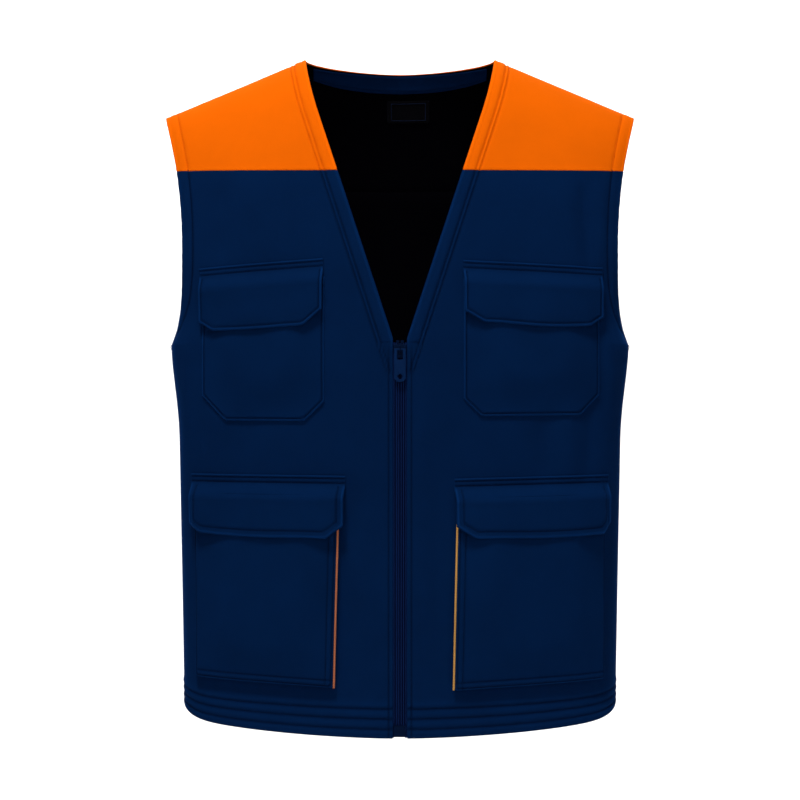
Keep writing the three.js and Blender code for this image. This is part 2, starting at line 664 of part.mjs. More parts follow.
function addPocket(name, pocket) {
  const frame = pocketFrame(pocket);
  const low = pocket.bagInset;
  const high = frame.width - pocket.bagInset;
  const depth = (u, v) => bagDepth(pocket, v);
  const mouth = (u) => frame.fold(u) - MOUTH_DROP;
  const floor = (inset) => (u) => {
    const edge = Math.min(u - low - inset, high - inset - u);
    const chamfer = Math.max(0, pocket.chamfer - Math.max(0, edge));
    return pocket.bagBottom + pocket.bagRise * u / frame.width + inset + chamfer;
  };
  const bagColumns = (inset) => cutCorners(low + inset, high - inset, pocket.chamfer);
  const bag = pocketBlock(frame, bagColumns(0), BAG_ROWS, floor(0), mouth, () => BAG_GAP, depth);
  const room = pocketBlock(frame, bagColumns(BAG_WALL), BAG_ROWS, floor(BAG_WALL),
    (u) => mouth(u) + BAG_ROOM.above, () => BAG_ROOM.below, (u, v) => depth(u, v) - BAG_WALL);
  addMesh(`${name}_pocket`, fromManifold(toManifold(bag).subtract(toManifold(room))), NAVY);

  const columns = spread(0, frame.width, 6);
  addMesh(`${name}_flap_heading`, pocketBlock(frame, columns, [0, 1], (u) => frame.fold(u) + SEAM_GAP,
    (u) => frame.fold(u) + HEADING_HEIGHT, () => BAG_GAP, () => BAG_GAP + FLAP_THICKNESS), NAVY);

  // The flap leaves the cloth at its fold and lies over the bag, with room for the patches.
  const lift = (u, v) => {
    const drop = frame.fold(u) - v;
    return lerp(BAG_GAP, depth(u, v) + FLAP_CLEARANCE, smoothstep(drop, 0, MOUTH_DROP - 1));
  };
  const flapColumns = cutCorners(0, frame.width, FLAP_CHAMFER);
  const flapBottom = (u) => {
    const edge = Math.min(u, frame.width - u);
    return frame.fold(u) - pocket.flapDrop + Math.max(0, FLAP_CHAMFER - edge);
  };
  const flap = addMesh(`${name}_flap`, pocketBlock(frame, flapColumns, FLAP_ROWS, flapBottom,
    (u) => frame.fold(u) - SEAM_GAP, lift, (u, v) => lift(u, v) + FLAP_THICKNESS), NAVY);

  // The flap turns about a straight line along the front of its fold.
  const clothStand = Math.max(...columns.map((u) => frame.cloth(u, frame.fold(u))));
  const stand = clothStand + BAG_GAP + FLAP_THICKNESS;
  const ends = [0, frame.width].map((u) => frame.place(u, frame.fold(u), stand));
  const [from, to] = pocket.side > 0 ? ends.reverse() : ends;
  flap.userData.hinge = { point: from, axis: to.clone().sub(from).normalize() };

  const middle = frame.width / 2;
  const patchColumns = spread(middle - PATCH.width / 2, middle + PATCH.width / 2, 2);
  const patchTop = (u) => frame.fold(u) - pocket.flapDrop + PATCH.aboveEdge + PATCH.height;
  const patchBottom = (u) => patchTop(u) - PATCH.height;
  const patch = (near, far) => pocketBlock(frame, patchColumns, [0, 1], patchBottom, patchTop, near, far);
  addMesh(`${name}_loop_patch`, patch((u, v) => depth(u, v) + PATCH.gap,
    (u, v) => depth(u, v) + PATCH.gap + PATCH.thickness), HOOK_LOOP);
  addMesh(`${name}_hook_patch`, patch((u, v) => lift(u, v) - PATCH.gap - PATCH.thickness,
    (u, v) => lift(u, v) - PATCH.gap), HOOK_LOOP);

  if (pocket.piping) {
    const edge = low - SEAM_GAP;
    addMesh(`${name}_piping`, pocketBlock(frame, [edge - PIPING.width, edge], spread(0, 1, 6),
      () => pocket.bagBottom + PIPING.aboveBottom, (u) => mouth(u) - PIPING.belowMouth,
      (u, v) => depth(u, v) - PIPING.width, depth), PIPING_ORANGE);
  }
}

for (const [name, side] of [['left', 1], ['right', -1]]) {
  addFront(name, side);
  addFrontYoke(name, side);
  addZipSide(name, side);
}
addBack();
addNeckPieces();
addSlider();
addPuller();
addZipEnds();
for (const [name, pocket] of Object.entries(POCKETS)) {
  addPocket(name, pocket);
}

export default group;
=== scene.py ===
"""A navy vest with orange shoulder yokes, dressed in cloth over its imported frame.

Lengths in this script are millimetres. Heights are measured up from the lowest point of the hem,
and world() turns them into the frame's metres, whose origin lies between the neck points.
The front faces -Y. "left" and "right" are the wearer's: left is +X.
"""
import json
import math

import bmesh
import bpy
import numpy as np
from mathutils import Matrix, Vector

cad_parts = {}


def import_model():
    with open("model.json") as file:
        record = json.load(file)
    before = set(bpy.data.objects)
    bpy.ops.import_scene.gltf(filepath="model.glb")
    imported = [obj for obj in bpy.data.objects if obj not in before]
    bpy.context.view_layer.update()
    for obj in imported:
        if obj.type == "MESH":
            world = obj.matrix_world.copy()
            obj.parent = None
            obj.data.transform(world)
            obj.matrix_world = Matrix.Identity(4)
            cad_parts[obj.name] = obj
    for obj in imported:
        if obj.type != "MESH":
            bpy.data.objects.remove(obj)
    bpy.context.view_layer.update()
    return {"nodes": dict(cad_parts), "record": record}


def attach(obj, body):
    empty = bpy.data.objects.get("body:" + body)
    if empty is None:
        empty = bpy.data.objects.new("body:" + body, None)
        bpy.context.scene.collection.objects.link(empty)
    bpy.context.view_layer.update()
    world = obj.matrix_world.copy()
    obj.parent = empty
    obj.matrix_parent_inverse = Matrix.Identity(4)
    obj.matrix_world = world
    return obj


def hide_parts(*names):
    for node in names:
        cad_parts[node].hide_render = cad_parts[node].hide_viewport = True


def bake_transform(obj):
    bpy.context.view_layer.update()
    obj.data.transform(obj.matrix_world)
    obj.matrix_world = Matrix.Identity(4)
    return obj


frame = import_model()

# ---- Driving dimensions, the same as the frame's ----

MM = 0.001
NECK_HEIGHT = 723.0
NECK_HALF_WIDTH = 103.0
SHOULDER_SLOPE = 0.4186
TIP_HALF_WIDTH = 253.5
UNDERARM_HEIGHT = 409.0
UNDERARM_HALF_WIDTH = 246.0
WAIST_HALF_WIDTH = 237.0
WAIST_HEIGHT = 320.0
FLARE_HEIGHTS = (310.0, 418.0)
HEM_HALF_WIDTH = 231.0
ARMHOLE_HEIGHT = 505.0
ARMHOLE_HALF_WIDTH = 230.0
ARMHOLE_DEPTH_SHARE = 0.8
ARMHOLE_RISE = 150.0
ARMHOLE_POWER = 3.2
UNDERARM_SPREAD = 2.9
YOKE_HEIGHT = 591.0
YOKE_RISE = 4.0
YOKE_RISE_START = 480.0
HEM_RISE = 18.0
HEM_CORNER = 10.0
HEM_CORNER_POWER = 20
HEM_RISE_TOP = 180.0
BACK_NECK_DROP = 5.0
ARCH_POWER = 2.4
FLAT_HALF_WIDTH = 22.0
V_BASE_HEIGHT = 408.0
V_BASE_HALF_WIDTH = 6.0
V_SLOPE = 0.329
V_CURVE_HEIGHT = 650.0
V_CURVE = 0.001146
V_LEAN = math.hypot(1, V_SLOPE)
ZIP_HALF_OPENING = 8.0
FRONT = {"sign": -1, "depth": 98.0, "taper": 0.08, "roundness": 5.5}
BACK = {"sign": 1, "depth": 92.0, "taper": 0.03, "roundness": 4.5}
ZIP_FACE = -FRONT["depth"]

ROOT = "back_and_yokes"
SIDES = {"left": 1, "right": -1}

# Layers of cloth: how far each face stands outward from the visible face of the shell.
SHELL_LAYER = (0.0, -1.5)
LINING_LAYER = (-3.2, -4.0)
BAND_LAYER = (-5.2, -6.2)
LABEL_LAYER = (-4.9, -5.7)
FACING_WIDTH = 26.0
YOKE_LINING_TOP = 0.98

# Seams and rows of stitches, by their distance from an edge.
SEAM_GAP = 0.3
# Gains of the painted seam attribute: a painted highlight on raised edges, and painted shade in stitch
# grooves.
EDGE_HIGHLIGHT = 1.35
SEAM_SHADE = 0.62
HEM_ROWS = (9.0, 19.5, 30.0)
V_ROWS = (12.5, 16.5)
V_ROWS_FOOT = 378.0
ARMHOLE_ROW = 13.5
ZIP_ROW = 3.8
ZIP_ROW_HEIGHTS = (3.0, 403.0)


def smoothstep(value, low, high):
    t = np.clip((np.asarray(value, float) - low) / (high - low), 0, 1)
    return t * t * (3 - 2 * t)


def lerp(a, b, t):
    return a + (b - a) * t


def unit(vectors):
    size = np.linalg.norm(vectors, axis=-1, keepdims=True)
    return vectors / np.maximum(size, 1e-12)


def ridge(distance, width, power=2):
    """1 on a line, and fading to 0 on both sides of it."""
    return np.exp(-((distance / width) ** power))


def path_lengths(path):
    """The distance along a line of points to each of them."""
    return np.concatenate([[0], np.cumsum(np.linalg.norm(np.diff(path, axis=0), axis=1))])


def values_at(wanted, along, values):
    """Places or directions read off a line at the wanted distances along it."""
    return np.stack([np.interp(wanted, along, column) for column in values.T], -1)


def world(points):
    """Places in the frame's metres."""
    moved = np.array(points, float) * MM
    moved[..., 2] -= NECK_HEIGHT * MM
    return moved


# ---- The shape of the body of the vest ----


def shoulder_line(x):
    return NECK_HEIGHT - SHOULDER_SLOPE * (np.abs(x) - NECK_HALF_WIDTH)


def edge_x(height):
    """Half-width of the cloth: the side seam below the armhole, and the armhole's edge above."""
    height = np.asarray(height, float)
    waist = lerp(HEM_HALF_WIDTH, WAIST_HALF_WIDTH, np.clip(height / WAIST_HEIGHT, 0, 1))
    below = waist + (UNDERARM_HALF_WIDTH - WAIST_HALF_WIDTH) * smoothstep(height, *FLARE_HEIGHTS)
    t = np.clip((ARMHOLE_HEIGHT - height) / (ARMHOLE_HEIGHT - UNDERARM_HEIGHT), 0, 1)
    low = ARMHOLE_HALF_WIDTH + (UNDERARM_HALF_WIDTH - ARMHOLE_HALF_WIDTH) * t**ARMHOLE_POWER
    spread = TIP_HALF_WIDTH - ARMHOLE_HALF_WIDTH
    high = ARMHOLE_HALF_WIDTH + spread * ((height - ARMHOLE_HEIGHT) / ARMHOLE_RISE) ** 2
    return np.where(height <= UNDERARM_HEIGHT, below, np.where(height < ARMHOLE_HEIGHT, low, high))


def section_half_width(height, face):
    """Half-width of the whole oval section, of which an armhole cuts off the sides."""
    edge = edge_x(height)
    t = np.clip((ARMHOLE_HEIGHT - height) / (ARMHOLE_HEIGHT - UNDERARM_HEIGHT), 0, 1)
    share = ARMHOLE_DEPTH_SHARE * np.sqrt(1 - t * t)
    power = face["roundness"]
    return edge / (1 - share**power) ** (1 / power) + 0.01


def body_y(x, height, face):
    across = np.clip(np.abs(x) / section_half_width(height, face), 0, 1)
    oval = (1 - across ** face["roundness"]) ** (1 / face["roundness"])
    depth = (face["depth"] - face["taper"] * np.maximum(0, np.abs(x) - FLAT_HALF_WIDTH)) * oval
    rise = np.clip((height - UNDERARM_HEIGHT) / (shoulder_line(x) - UNDERARM_HEIGHT), 0, 1)
    return face["sign"] * depth * np.sqrt(np.maximum(0, 1 - rise**ARCH_POWER))


def neck_edge_x(height):
    straight = V_BASE_HALF_WIDTH + V_SLOPE * (height - V_BASE_HEIGHT)
    return straight - V_CURVE * np.maximum(0, height - V_CURVE_HEIGHT) ** 2


def front_edge_x(height):
    return np.maximum(ZIP_HALF_OPENING, neck_edge_x(height))


def cloth_height(height, x):
    """The hem and the yoke's seam rise towards the sides, and the hem turns up at its corners."""
    share = (np.abs(x) / WAIST_HALF_WIDTH) ** 2
    corner = HEM_CORNER * np.minimum(1, np.abs(x) / HEM_HALF_WIDTH) ** HEM_CORNER_POWER
    hem = (HEM_RISE * share + corner) * np.maximum(0, 1 - height / HEM_RISE_TOP) ** 2
    return height + hem + YOKE_RISE * share * smoothstep(height, YOKE_RISE_START, YOKE_HEIGHT)


def back_top(x):
    inside = np.clip(np.abs(x) / NECK_HALF_WIDTH, 0, 1)
    neckline = NECK_HEIGHT - BACK_NECK_DROP * (1 - inside**2)
    return np.where(np.abs(x) < NECK_HALF_WIDTH, neckline, shoulder_line(x))


# ---- Soft folds, as a distance outward ----

# Each fold: x, height, half-width across, half-length, lean (x per height), depth.
FRONT_FOLDS = (
    (196, 540, 9, 52, -0.06, -3.0),
    (214, 535, 7, 60, 0.02, 1.8),
    (150, 300, 13, 34, 0.10, -1.6),
    (176, 305, 10, 42, -0.05, 1.7),
    (200, 308, 9, 46, 0.04, -2.4),
    (222, 380, 8, 60, -0.12, 2.2),
    (212, 400, 7, 52, -0.14, -2.0),
    (60, 300, 16, 60, 0.03, -1.0),
    (40, 200, 9, 150, 0.00, -0.9),
    (224, 150, 7, 110, 0.01, -2.0),
    (-188, 545, 10, 48, 0.05, -2.2),
    (-212, 400, 8, 60, 0.12, -2.2),
    (-224, 372, 8, 60, 0.10, 1.8),
    (-160, 300, 12, 36, -0.08, -1.4),
    (-190, 306, 10, 44, 0.05, 1.6),
    (-208, 300, 8, 46, -0.04, -1.8),
    (-44, 210, 9, 140, 0.00, -0.8),
    (-224, 150, 7, 110, -0.01, -1.6),
)
BACK_FOLDS = (
    (120, 470, 16, 90, 0.10, -3.0),
    (-120, 470, 16, 90, -0.10, -3.0),
    (70, 330, 18, 120, 0.06, -2.0),
    (-64, 320, 18, 120, -0.05, -2.2),
    (0, 250, 22, 150, 0.02, 2.0),
    (170, 250, 14, 130, 0.03, 2.6),
    (-172, 260, 14, 130, -0.03, 2.4),
    (206, 340, 10, 80, -0.10, -2.6),
    (-206, 340, 10, 80, 0.10, -2.6),
    (30, 520, 20, 40, 0.3, 1.4),
    (-34, 515, 20, 44, -0.3, 1.4),
)


def drape(x, height, face):
    """Folds and the cloth's slight unevenness. It dies away at every edge that meets another piece."""
    folds = FRONT_FOLDS if face is FRONT else BACK_FOLDS
    total = np.zeros(np.broadcast(x, height).shape)
    for fold_x, fold_height, wide, long, lean, depth in folds:
        across = (x - fold_x - lean * (height - fold_height)) / wide
        along = (height - fold_height) / long
        total += depth * np.exp(-(across**2) - along**4)
    ripple = (
        np.sin(x / 31 + 1.3 * face["sign"]) * np.sin(height / 47 + x / 90)
        + 0.6 * np.sin(x / 17.3 - height / 61 + 0.7)
        + 0.5 * np.sin(height / 23 + x / 39 + 2.1 * face["sign"])
    )
    total = 1.35 * total + 0.36 * ripple
    keep = 1 - smoothstep(np.abs(x), edge_x(height) - 26, edge_x(height) - 5) * 0.85
    keep = keep * smoothstep(height, -8, 40)
    keep = keep * (1 - 0.8 * smoothstep(height, YOKE_HEIGHT - 30, YOKE_HEIGHT))
    if face is FRONT:
        keep = keep * smoothstep(np.abs(x) - front_edge_x(height), 2, 24)
    return total * keep


# ---- Meshes ----


def mesh_object(name, points, faces, material):
    mesh = bpy.data.meshes.new(name)
    mesh.from_pydata([tuple(p) for p in world(points)], [], [tuple(int(k) for k in f) for f in faces])
    mesh.polygons.foreach_set("use_smooth", [True] * len(mesh.polygons))
    mesh.update()
    piece = bpy.data.objects.new(name, mesh)
    bpy.context.scene.collection.objects.link(piece)
    piece.data.materials.append(material)
    return piece


def face_outward(points, faces):
    """Turns every face over if the closed mesh is inside out."""
    first = points[[f[0] for f in faces]]
    volume = 0.0
    for k in (1, 2):
        second = points[[f[k] for f in faces]]
        third = points[[f[min(k + 1, len(f) - 1)] for f in faces]]
        volume += np.einsum("ij,ij->", first, np.cross(second, third))
    return [f[::-1] for f in faces] if volume < 0 else faces


def slab_mesh(outer, inner, rim_steps=3):
    """A closed sheet between two grids of points, with a rounded rim."""
    rows, columns = outer.shape[:2]
    at = np.arange(rows * columns).reshape(rows, columns)
    count = rows * columns
    quads = np.stack([at[:-1, :-1], at[:-1, 1:], at[1:, 1:], at[1:, :-1]], -1).reshape(-1, 4)
    faces = [quads, (quads + count)[:, ::-1]]

    ring = np.concatenate([at[0, :-1], at[:-1, -1], at[-1, :0:-1], at[:0:-1, 0]])
    tangents = np.zeros_like(outer)
    tangents[0] += unit(outer[0] - outer[1])
    tangents[-1] += unit(outer[-1] - outer[-2])
    tangents[:, 0] += unit(outer[:, 0] - outer[:, 1])
    tangents[:, -1] += unit(outer[:, -1] - outer[:, -2])
    tangents = unit(tangents.reshape(-1, 3)[ring])
    top = outer.reshape(-1, 3)[ring]
    low = inner.reshape(-1, 3)[ring]
    middle = (top + low) / 2
    half = (top - low) / 2
    reach = np.linalg.norm(half, axis=1, keepdims=True)
    loops = [ring]
    extra = []
    start = 2 * count
    for k in range(1, rim_steps + 1):
        angle = math.pi * k / (rim_steps + 1)
        extra.append(middle + half * math.cos(angle) + tangents * reach * math.sin(angle))
        loops.append(np.arange(start, start + len(ring)))
        start += len(ring)
    loops.append(ring + count)
    for a, b in zip(loops, loops[1:]):
        faces.append(np.stack([a, b, np.roll(b, -1), np.roll(a, -1)], -1))
    points = np.concatenate([outer.reshape(-1, 3), inner.reshape(-1, 3), *extra])
    faces = [list(f) for part in faces for f in part]
    return points, face_outward(points, faces)


def join_meshes(parts):
    """Several meshes as one."""
    points, faces, start = [], [], 0
    for p, f in parts:
        points.append(p)
        faces += [[k + start for k in face] for face in f]
        start += len(p)
    return np.concatenate(points), faces


class Cloth:
    """A grid of cloth: places, outward directions, and each place's distance along its row."""

    def __init__(self, lines, spacing, face):
        self.face = face
        lengths = [path_lengths(line) for line in lines]
        self.along = np.array([spacing(along[-1]) for along in lengths])
        self.width = max(along[-1] for along in lengths)
        self.points = np.array([values_at(*row) for row in zip(self.along, lengths, lines)])
        normals = unit(np.cross(np.gradient(self.points, axis=1), np.gradient(self.points, axis=0)))
        middle = normals[len(normals) // 3, normals.shape[1] // 3, 1]
        self.normals = normals * (np.sign(middle) * face["sign"] or 1)
        self.settle()

    def settle(self):
        """Gives the grid its folds and no seams."""
        self.offset = drape(self.points[..., 0], self.points[..., 2], self.face)
        self.tone = np.zeros_like(self.offset)

    def on_side(self, side):
        """Moves the grid to the wearer's left (1) or right (-1)."""
        self.points = self.points * np.array([side, 1, 1])
        self.normals = self.normals * np.array([side, 1, 1])
        self.settle()
        return self

    def mirrored(self):
        """Adds the grid's copy on the other side of the middle, joined along x = 0."""
        flip = np.array([-1, 1, 1])
        self.points = np.concatenate([self.points[:, :0:-1] * flip, self.points], 1)
        self.normals = np.concatenate([self.normals[:, :0:-1] * flip, self.normals], 1)
        self.width = self.width * 2
        self.settle()
        return self

    def at(self, distance):
        return self.points + self.normals * (self.offset + distance)[..., None]

    def groove(self, apart, depth=0.9, width=0.9, where=True):
        """Sinks the cloth along a row of stitches, given each point's distance from it, and paints shade
        there.
        """
        pucker = 1 + 0.35 * np.sin(self.points[..., 2] / 2.9 + self.points[..., 0] / 3.7)
        self.offset = self.offset - depth * pucker * ridge(apart, width) * where
        self.tone = self.tone - ridge(apart, width * 1.2) * where

    def puff(self, apart, height, width, painted_highlight=0.0, where=True):
        """Raises the cloth beside a seam, and paints a highlight on it there."""
        self.offset = self.offset + height * ridge(apart, width) * where
        self.tone = self.tone + painted_highlight * ridge(apart, width) * where

    def path_across(self, rows, distance):
        """A line that crosses the rows, at its own distance along each."""
        surface = self.at(0)
        path = [values_at(distance(i), self.along[i], surface[i]) for i in rows]
        normals = [values_at(distance(i), self.along[i], self.normals[i]) for i in rows]
        return np.array(path), unit(np.array(normals))

    def path_along(self, row, end=2):
        """A line along a row that stops short of both ends."""
        return self.at(0)[row, end:-end], self.normals[row, end:-end]


# Across each stitch, end to end: place along it, thickness, and rise out of the cloth.
STITCH_RINGS = (
    (-1.0, 0.35, -0.15), (-0.75, 0.85, 0.1), (0.0, 1.0, 0.22), (0.75, 0.85, 0.1), (1.0, 0.35, -0.15),
)
STITCH_SIDES = 6
STITCH_HEIGHT = 0.45
STITCH_LIFT = 0.1


def thread_mesh(paths, pitch=3.7, length=3.0, width=0.6):
    """Rows of single stitches: short threads that rise out of the cloth and dive back into it."""
    centres, runs, ups = [], [], []
    for path, normals in paths:
        along = path_lengths(path)
        if along[-1] < pitch * 2:
            continue
        wanted = np.arange(pitch * 0.6, along[-1] - pitch * 0.5, pitch)
        centres.append(values_at(wanted, along, path))
        runs.append(unit(values_at(wanted + 0.5, along, path) - values_at(wanted - 0.5, along, path)))
        ups.append(unit(values_at(wanted, along, normals)))
    centre, run, up = (np.concatenate(x) for x in (centres, runs, ups))
    side = unit(np.cross(run, up))
    points = []
    for place, scale, rise in STITCH_RINGS:
        for k in range(STITCH_SIDES):
            angle = 2 * math.pi * k / STITCH_SIDES
            lift = math.sin(angle) * STITCH_HEIGHT / 2 * scale + rise + STITCH_LIFT
            sideways = math.cos(angle) * width / 2 * scale
            points.append(centre + run * (place * length / 2) + side * sideways + up * lift)
    points = np.stack(points, 1)
    many, each = points.shape[:2]
    pattern = tube_faces(len(STITCH_RINGS), STITCH_SIDES)
    faces = [[k + n * each for k in f] for n in range(many) for f in pattern]
    return points.reshape(-1, 3), faces


def tube_faces(rings, sides):
    """The faces of a tube with closed ends, ring after ring."""
    faces = []
    for r in range(rings - 1):
        for k in range(sides):
            a, b = r * sides + k, r * sides + (k + 1) % sides
            faces.append([a, b, b + sides, a + sides])
    start = (rings - 1) * sides
    return faces + [list(range(sides))[::-1], list(range(start, start + sides))]


def tube_mesh(path, radius, sides=12, reference=(0.0, 1.0, 0.0)):
    """A closed round tube along a line of points."""
    run = unit(np.gradient(path, axis=0))
    side = unit(np.cross(run, np.array(reference)))
    up = np.cross(side, run)
    radius = np.broadcast_to(radius, len(path))[:, None]
    points = []
    for k in range(sides):
        angle = 2 * math.pi * k / sides
        points.append(path + (side * math.cos(angle) + up * math.sin(angle)) * radius)
    points = np.stack(points, 1).reshape(-1, 3)
    return points, face_outward(points, tube_faces(len(path), sides))


# ---- Materials ----


class Recipe:
    """A material under construction: its nodes, and short calls that add and join them."""

    def __init__(self, name):
        self.material = bpy.data.materials.new(name)
        self.material.use_nodes = True
        self.nodes = self.material.node_tree.nodes
        self.join = self.material.node_tree.links.new
        self.shader = self.nodes["Principled BSDF"]

    def add(self, kind, **values):
        """Adds a node. Each value belongs to the input of that name, or else to a setting."""
        node = self.nodes.new(kind)
        for key, value in values.items():
            if key in node.inputs:
                node.inputs[key].default_value = value
            else:
                setattr(node, key, value)
        return node

    def place(self):
        return self.add("ShaderNodeTexCoord").outputs["Object"]

    def math(self, operation, *values):
        node = self.add("ShaderNodeMath", operation=operation)
        for socket, value in zip(node.inputs, values):
            if isinstance(value, (int, float)):
                socket.default_value = value
            else:
                self.join(value, socket)
        return node.outputs[0]

    def noise(self, place, scale, detail, roughness=0.5):
        node = self.add("ShaderNodeTexNoise", Scale=scale, Detail=detail, Roughness=roughness)
        self.join(place, node.inputs["Vector"])
        return node.outputs[0]

    def ramp(self, pattern, dark, light, low=0.0, high=1.0):
        node = self.add("ShaderNodeValToRGB")
        for end, position, colour in zip(node.color_ramp.elements, (low, high), (dark, light)):
            end.position = position
            end.color = (*colour, 1)
        self.join(pattern, node.inputs[0])
        return node.outputs[0]

    def roughen(self, pattern, low, high):
        """Lets the pattern move the roughness between two values."""
        node = self.add("ShaderNodeMapRange", **{"To Min": low, "To Max": high})
        self.join(pattern, node.inputs[0])
        self.join(node.outputs[0], self.shader.inputs["Roughness"])

    def emboss(self, pattern, strength, depth):
        node = self.add("ShaderNodeBump", Strength=strength, Distance=depth * MM)
        self.join(pattern, node.inputs["Height"])
        self.join(node.outputs[0], self.shader.inputs["Normal"])

    def set_shader(self, values):
        for key, value in values.items():
            self.shader.inputs[key].default_value = value


def fabric(name, colour, weave=0.9, bump=0.3, roughness=0.85, sheen=0.3, variation=0.12, twill=0.5,
           gloss=0.008, seams=0.6):
    """Woven cloth: two sets of threads that cross, fibres that vary in tone, and broad soft patches."""
    recipe = Recipe(name)
    place = recipe.place()
    split = recipe.add("ShaderNodeSeparateXYZ")
    recipe.join(place, split.inputs[0])
    x, y, z = split.outputs
    turn = 2 * math.pi / (weave * MM)
    across = recipe.math("MULTIPLY_ADD", y, 0.8, x)
    slanted = recipe.math("MULTIPLY_ADD", z, twill, across)
    warp = recipe.math("SINE", recipe.math("MULTIPLY", slanted, turn))
    weft = recipe.math("SINE", recipe.math("MULTIPLY", z, turn * 1.1))
    crossing = recipe.math("MULTIPLY", warp, weft)
    threads = recipe.math("MULTIPLY_ADD", crossing, 0.6, warp)

    fibre = recipe.noise(place, 1400.0, 3.0, 0.7)
    patch = recipe.noise(place, 16.0, 4.0, 0.6)
    tone = recipe.math("MULTIPLY", patch, 0.9)
    tone = recipe.math("MULTIPLY_ADD", fibre, 0.6, tone)
    tone = recipe.math("MULTIPLY_ADD", threads, 0.08, tone)
    dark = [c * (1 - variation) for c in colour]
    light = [min(1.0, c * (1 + variation)) for c in colour]
    dyed = recipe.ramp(tone, dark, light, 0.45, 1.0)

    # The seam attribute paints light and shade into the colour: darker in stitch grooves as painted shade,
    # lighter on raised edges as a painted highlight.
    seam = recipe.add("ShaderNodeAttribute", attribute_name="painted_seam_shading")
    painted_seam_gain = recipe.math("MULTIPLY_ADD", seam.outputs["Fac"], seams, 1.0)
    painted_seam_colour = recipe.add("ShaderNodeVectorMath", operation="SCALE")
    recipe.join(dyed, painted_seam_colour.inputs[0])
    recipe.join(painted_seam_gain, painted_seam_colour.inputs["Scale"])
    recipe.join(painted_seam_colour.outputs[0], recipe.shader.inputs["Base Color"])

    recipe.emboss(recipe.math("MULTIPLY_ADD", fibre, 1.5, threads), bump, 0.18)
    recipe.roughen(fibre, roughness - 0.07, min(1.0, roughness + 0.07))
    tint = [c / max(colour) * 0.35 for c in colour]
    recipe.set_shader({
        "Specular IOR Level": gloss, "Sheen Weight": sheen, "Sheen Roughness": 0.4, "Sheen Tint": (*tint, 1),
    })
    return recipe.material


def moulded(name, colour, roughness, specular):
    """Moulded plastic or painted metal: a fine grain, and rubbed patches that shine more."""
    recipe = Recipe(name)
    place = recipe.place()
    fine = recipe.noise(place, 900.0, 3.0)
    broad = recipe.noise(place, 120.0, 3.0)
    dark = [c * 0.8 for c in colour]
    light = [min(1.0, c * 1.25) for c in colour]
    recipe.join(recipe.ramp(broad, dark, light), recipe.shader.inputs["Base Color"])
    recipe.roughen(broad, roughness - 0.08, roughness + 0.12)
    recipe.emboss(fine, 0.15, 0.1)
    recipe.set_shader({"Specular IOR Level": specular})
    return recipe.material


def paint(name, colour):
    """A plain matt surface with a faint mottle, for the studio's floor and wall."""
    recipe = Recipe(name)
    mottle = recipe.add("ShaderNodeTexNoise", Scale=6.0, Detail=2.0).outputs[0]
    dark = [c * 0.985 for c in colour]
    recipe.join(recipe.ramp(mottle, dark, colour), recipe.shader.inputs["Base Color"])
    recipe.set_shader({"Roughness": 0.9, "Specular IOR Level": 0.0})
    return recipe.material


NAVY = (0.0009, 0.0112, 0.050)
ORANGE = (0.78, 0.120, 0.0010)
ORANGE_THREAD = (0.71, 0.104, 0.001)
LINING_BLACK = (0.0003, 0.0002, 0.0010)
LABEL_BLACK = (0.0009, 0.0009, 0.0016)
ZIP_NAVY = (0.0020, 0.0072, 0.036)
LOOKS = {
    "orange_shell": fabric("orange cloth", ORANGE, variation=0.05, sheen=0.05, bump=0.25, seams=0.22),
    "navy_shell": fabric("navy cloth", NAVY),
    "navy_pocket": fabric("navy pocket cloth", (0.0009, 0.0115, 0.051)),
    "navy_facing": fabric("navy facing cloth", (0.0009, 0.0100, 0.044), weave=0.8),
    "lining": fabric("black lining", LINING_BLACK, weave=0.5, roughness=0.7, sheen=0.0, gloss=0.01),
    "label": fabric("label cloth", LABEL_BLACK, weave=0.4, twill=0.0, roughness=0.75, gloss=0.02),
    "zip_tape": fabric("zip tape", ZIP_NAVY, weave=0.7, twill=0.0, seams=1.0),
    "zip_coil": fabric("nylon coil", ZIP_NAVY, weave=1.5, bump=0.1, roughness=0.6, seams=1.0),
    # Kept darker than the pull, which paints shade into the slider's slot round its arch.
    "zip_metal": moulded("painted zinc", (0.0006, 0.0056, 0.025), roughness=0.5, specular=0.02),
    "zip_pull": moulded("moulded pull", (0.0010, 0.0120, 0.054), roughness=0.5, specular=0.03),
    "hook_and_loop": fabric("hook and loop", (0.003, 0.004, 0.007), weave=1.6, bump=1.0, twill=0.0),
    "piping": fabric("brown orange piping", (0.40, 0.13, 0.065), weave=0.8, sheen=0.05),
    "golden_piping": fabric("golden orange piping", (0.50, 0.26, 0.075), weave=0.8, sheen=0.05),
    # Darker than the cloth, in part as painted shade along the rows of stitches.
    "navy_thread": fabric("navy thread", (0.0006, 0.0052, 0.024), weave=0.35, roughness=0.6),
    "orange_thread": fabric("orange thread", ORANGE_THREAD, weave=0.35, roughness=0.6, variation=0.05),
    "grey_thread": fabric("label thread", (0.006, 0.010, 0.026), weave=0.35, roughness=0.6),
}


def add_piece(name, mesh, look, body=None, replaces=(), tone=None):
    piece = mesh_object(name, *mesh, LOOKS[look])
    if tone is not None:
        # Painted highlight where the tone is above zero, painted shade where it is below.
        values = np.zeros(len(piece.data.vertices), np.float32)
        values[: tone.size] = np.where(tone > 0, EDGE_HIGHLIGHT * tone, SEAM_SHADE * tone).ravel()
        piece.data.attributes.new("painted_seam_shading", "FLOAT", "POINT").data.foreach_set("value", values)
    if replaces:
        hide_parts(*replaces)
    if body:
        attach(piece, body)
    return piece


def add_stitches(name, paths, look, body=None, **sizes):
    return add_piece(name, thread_mesh(paths, **sizes), look, body)


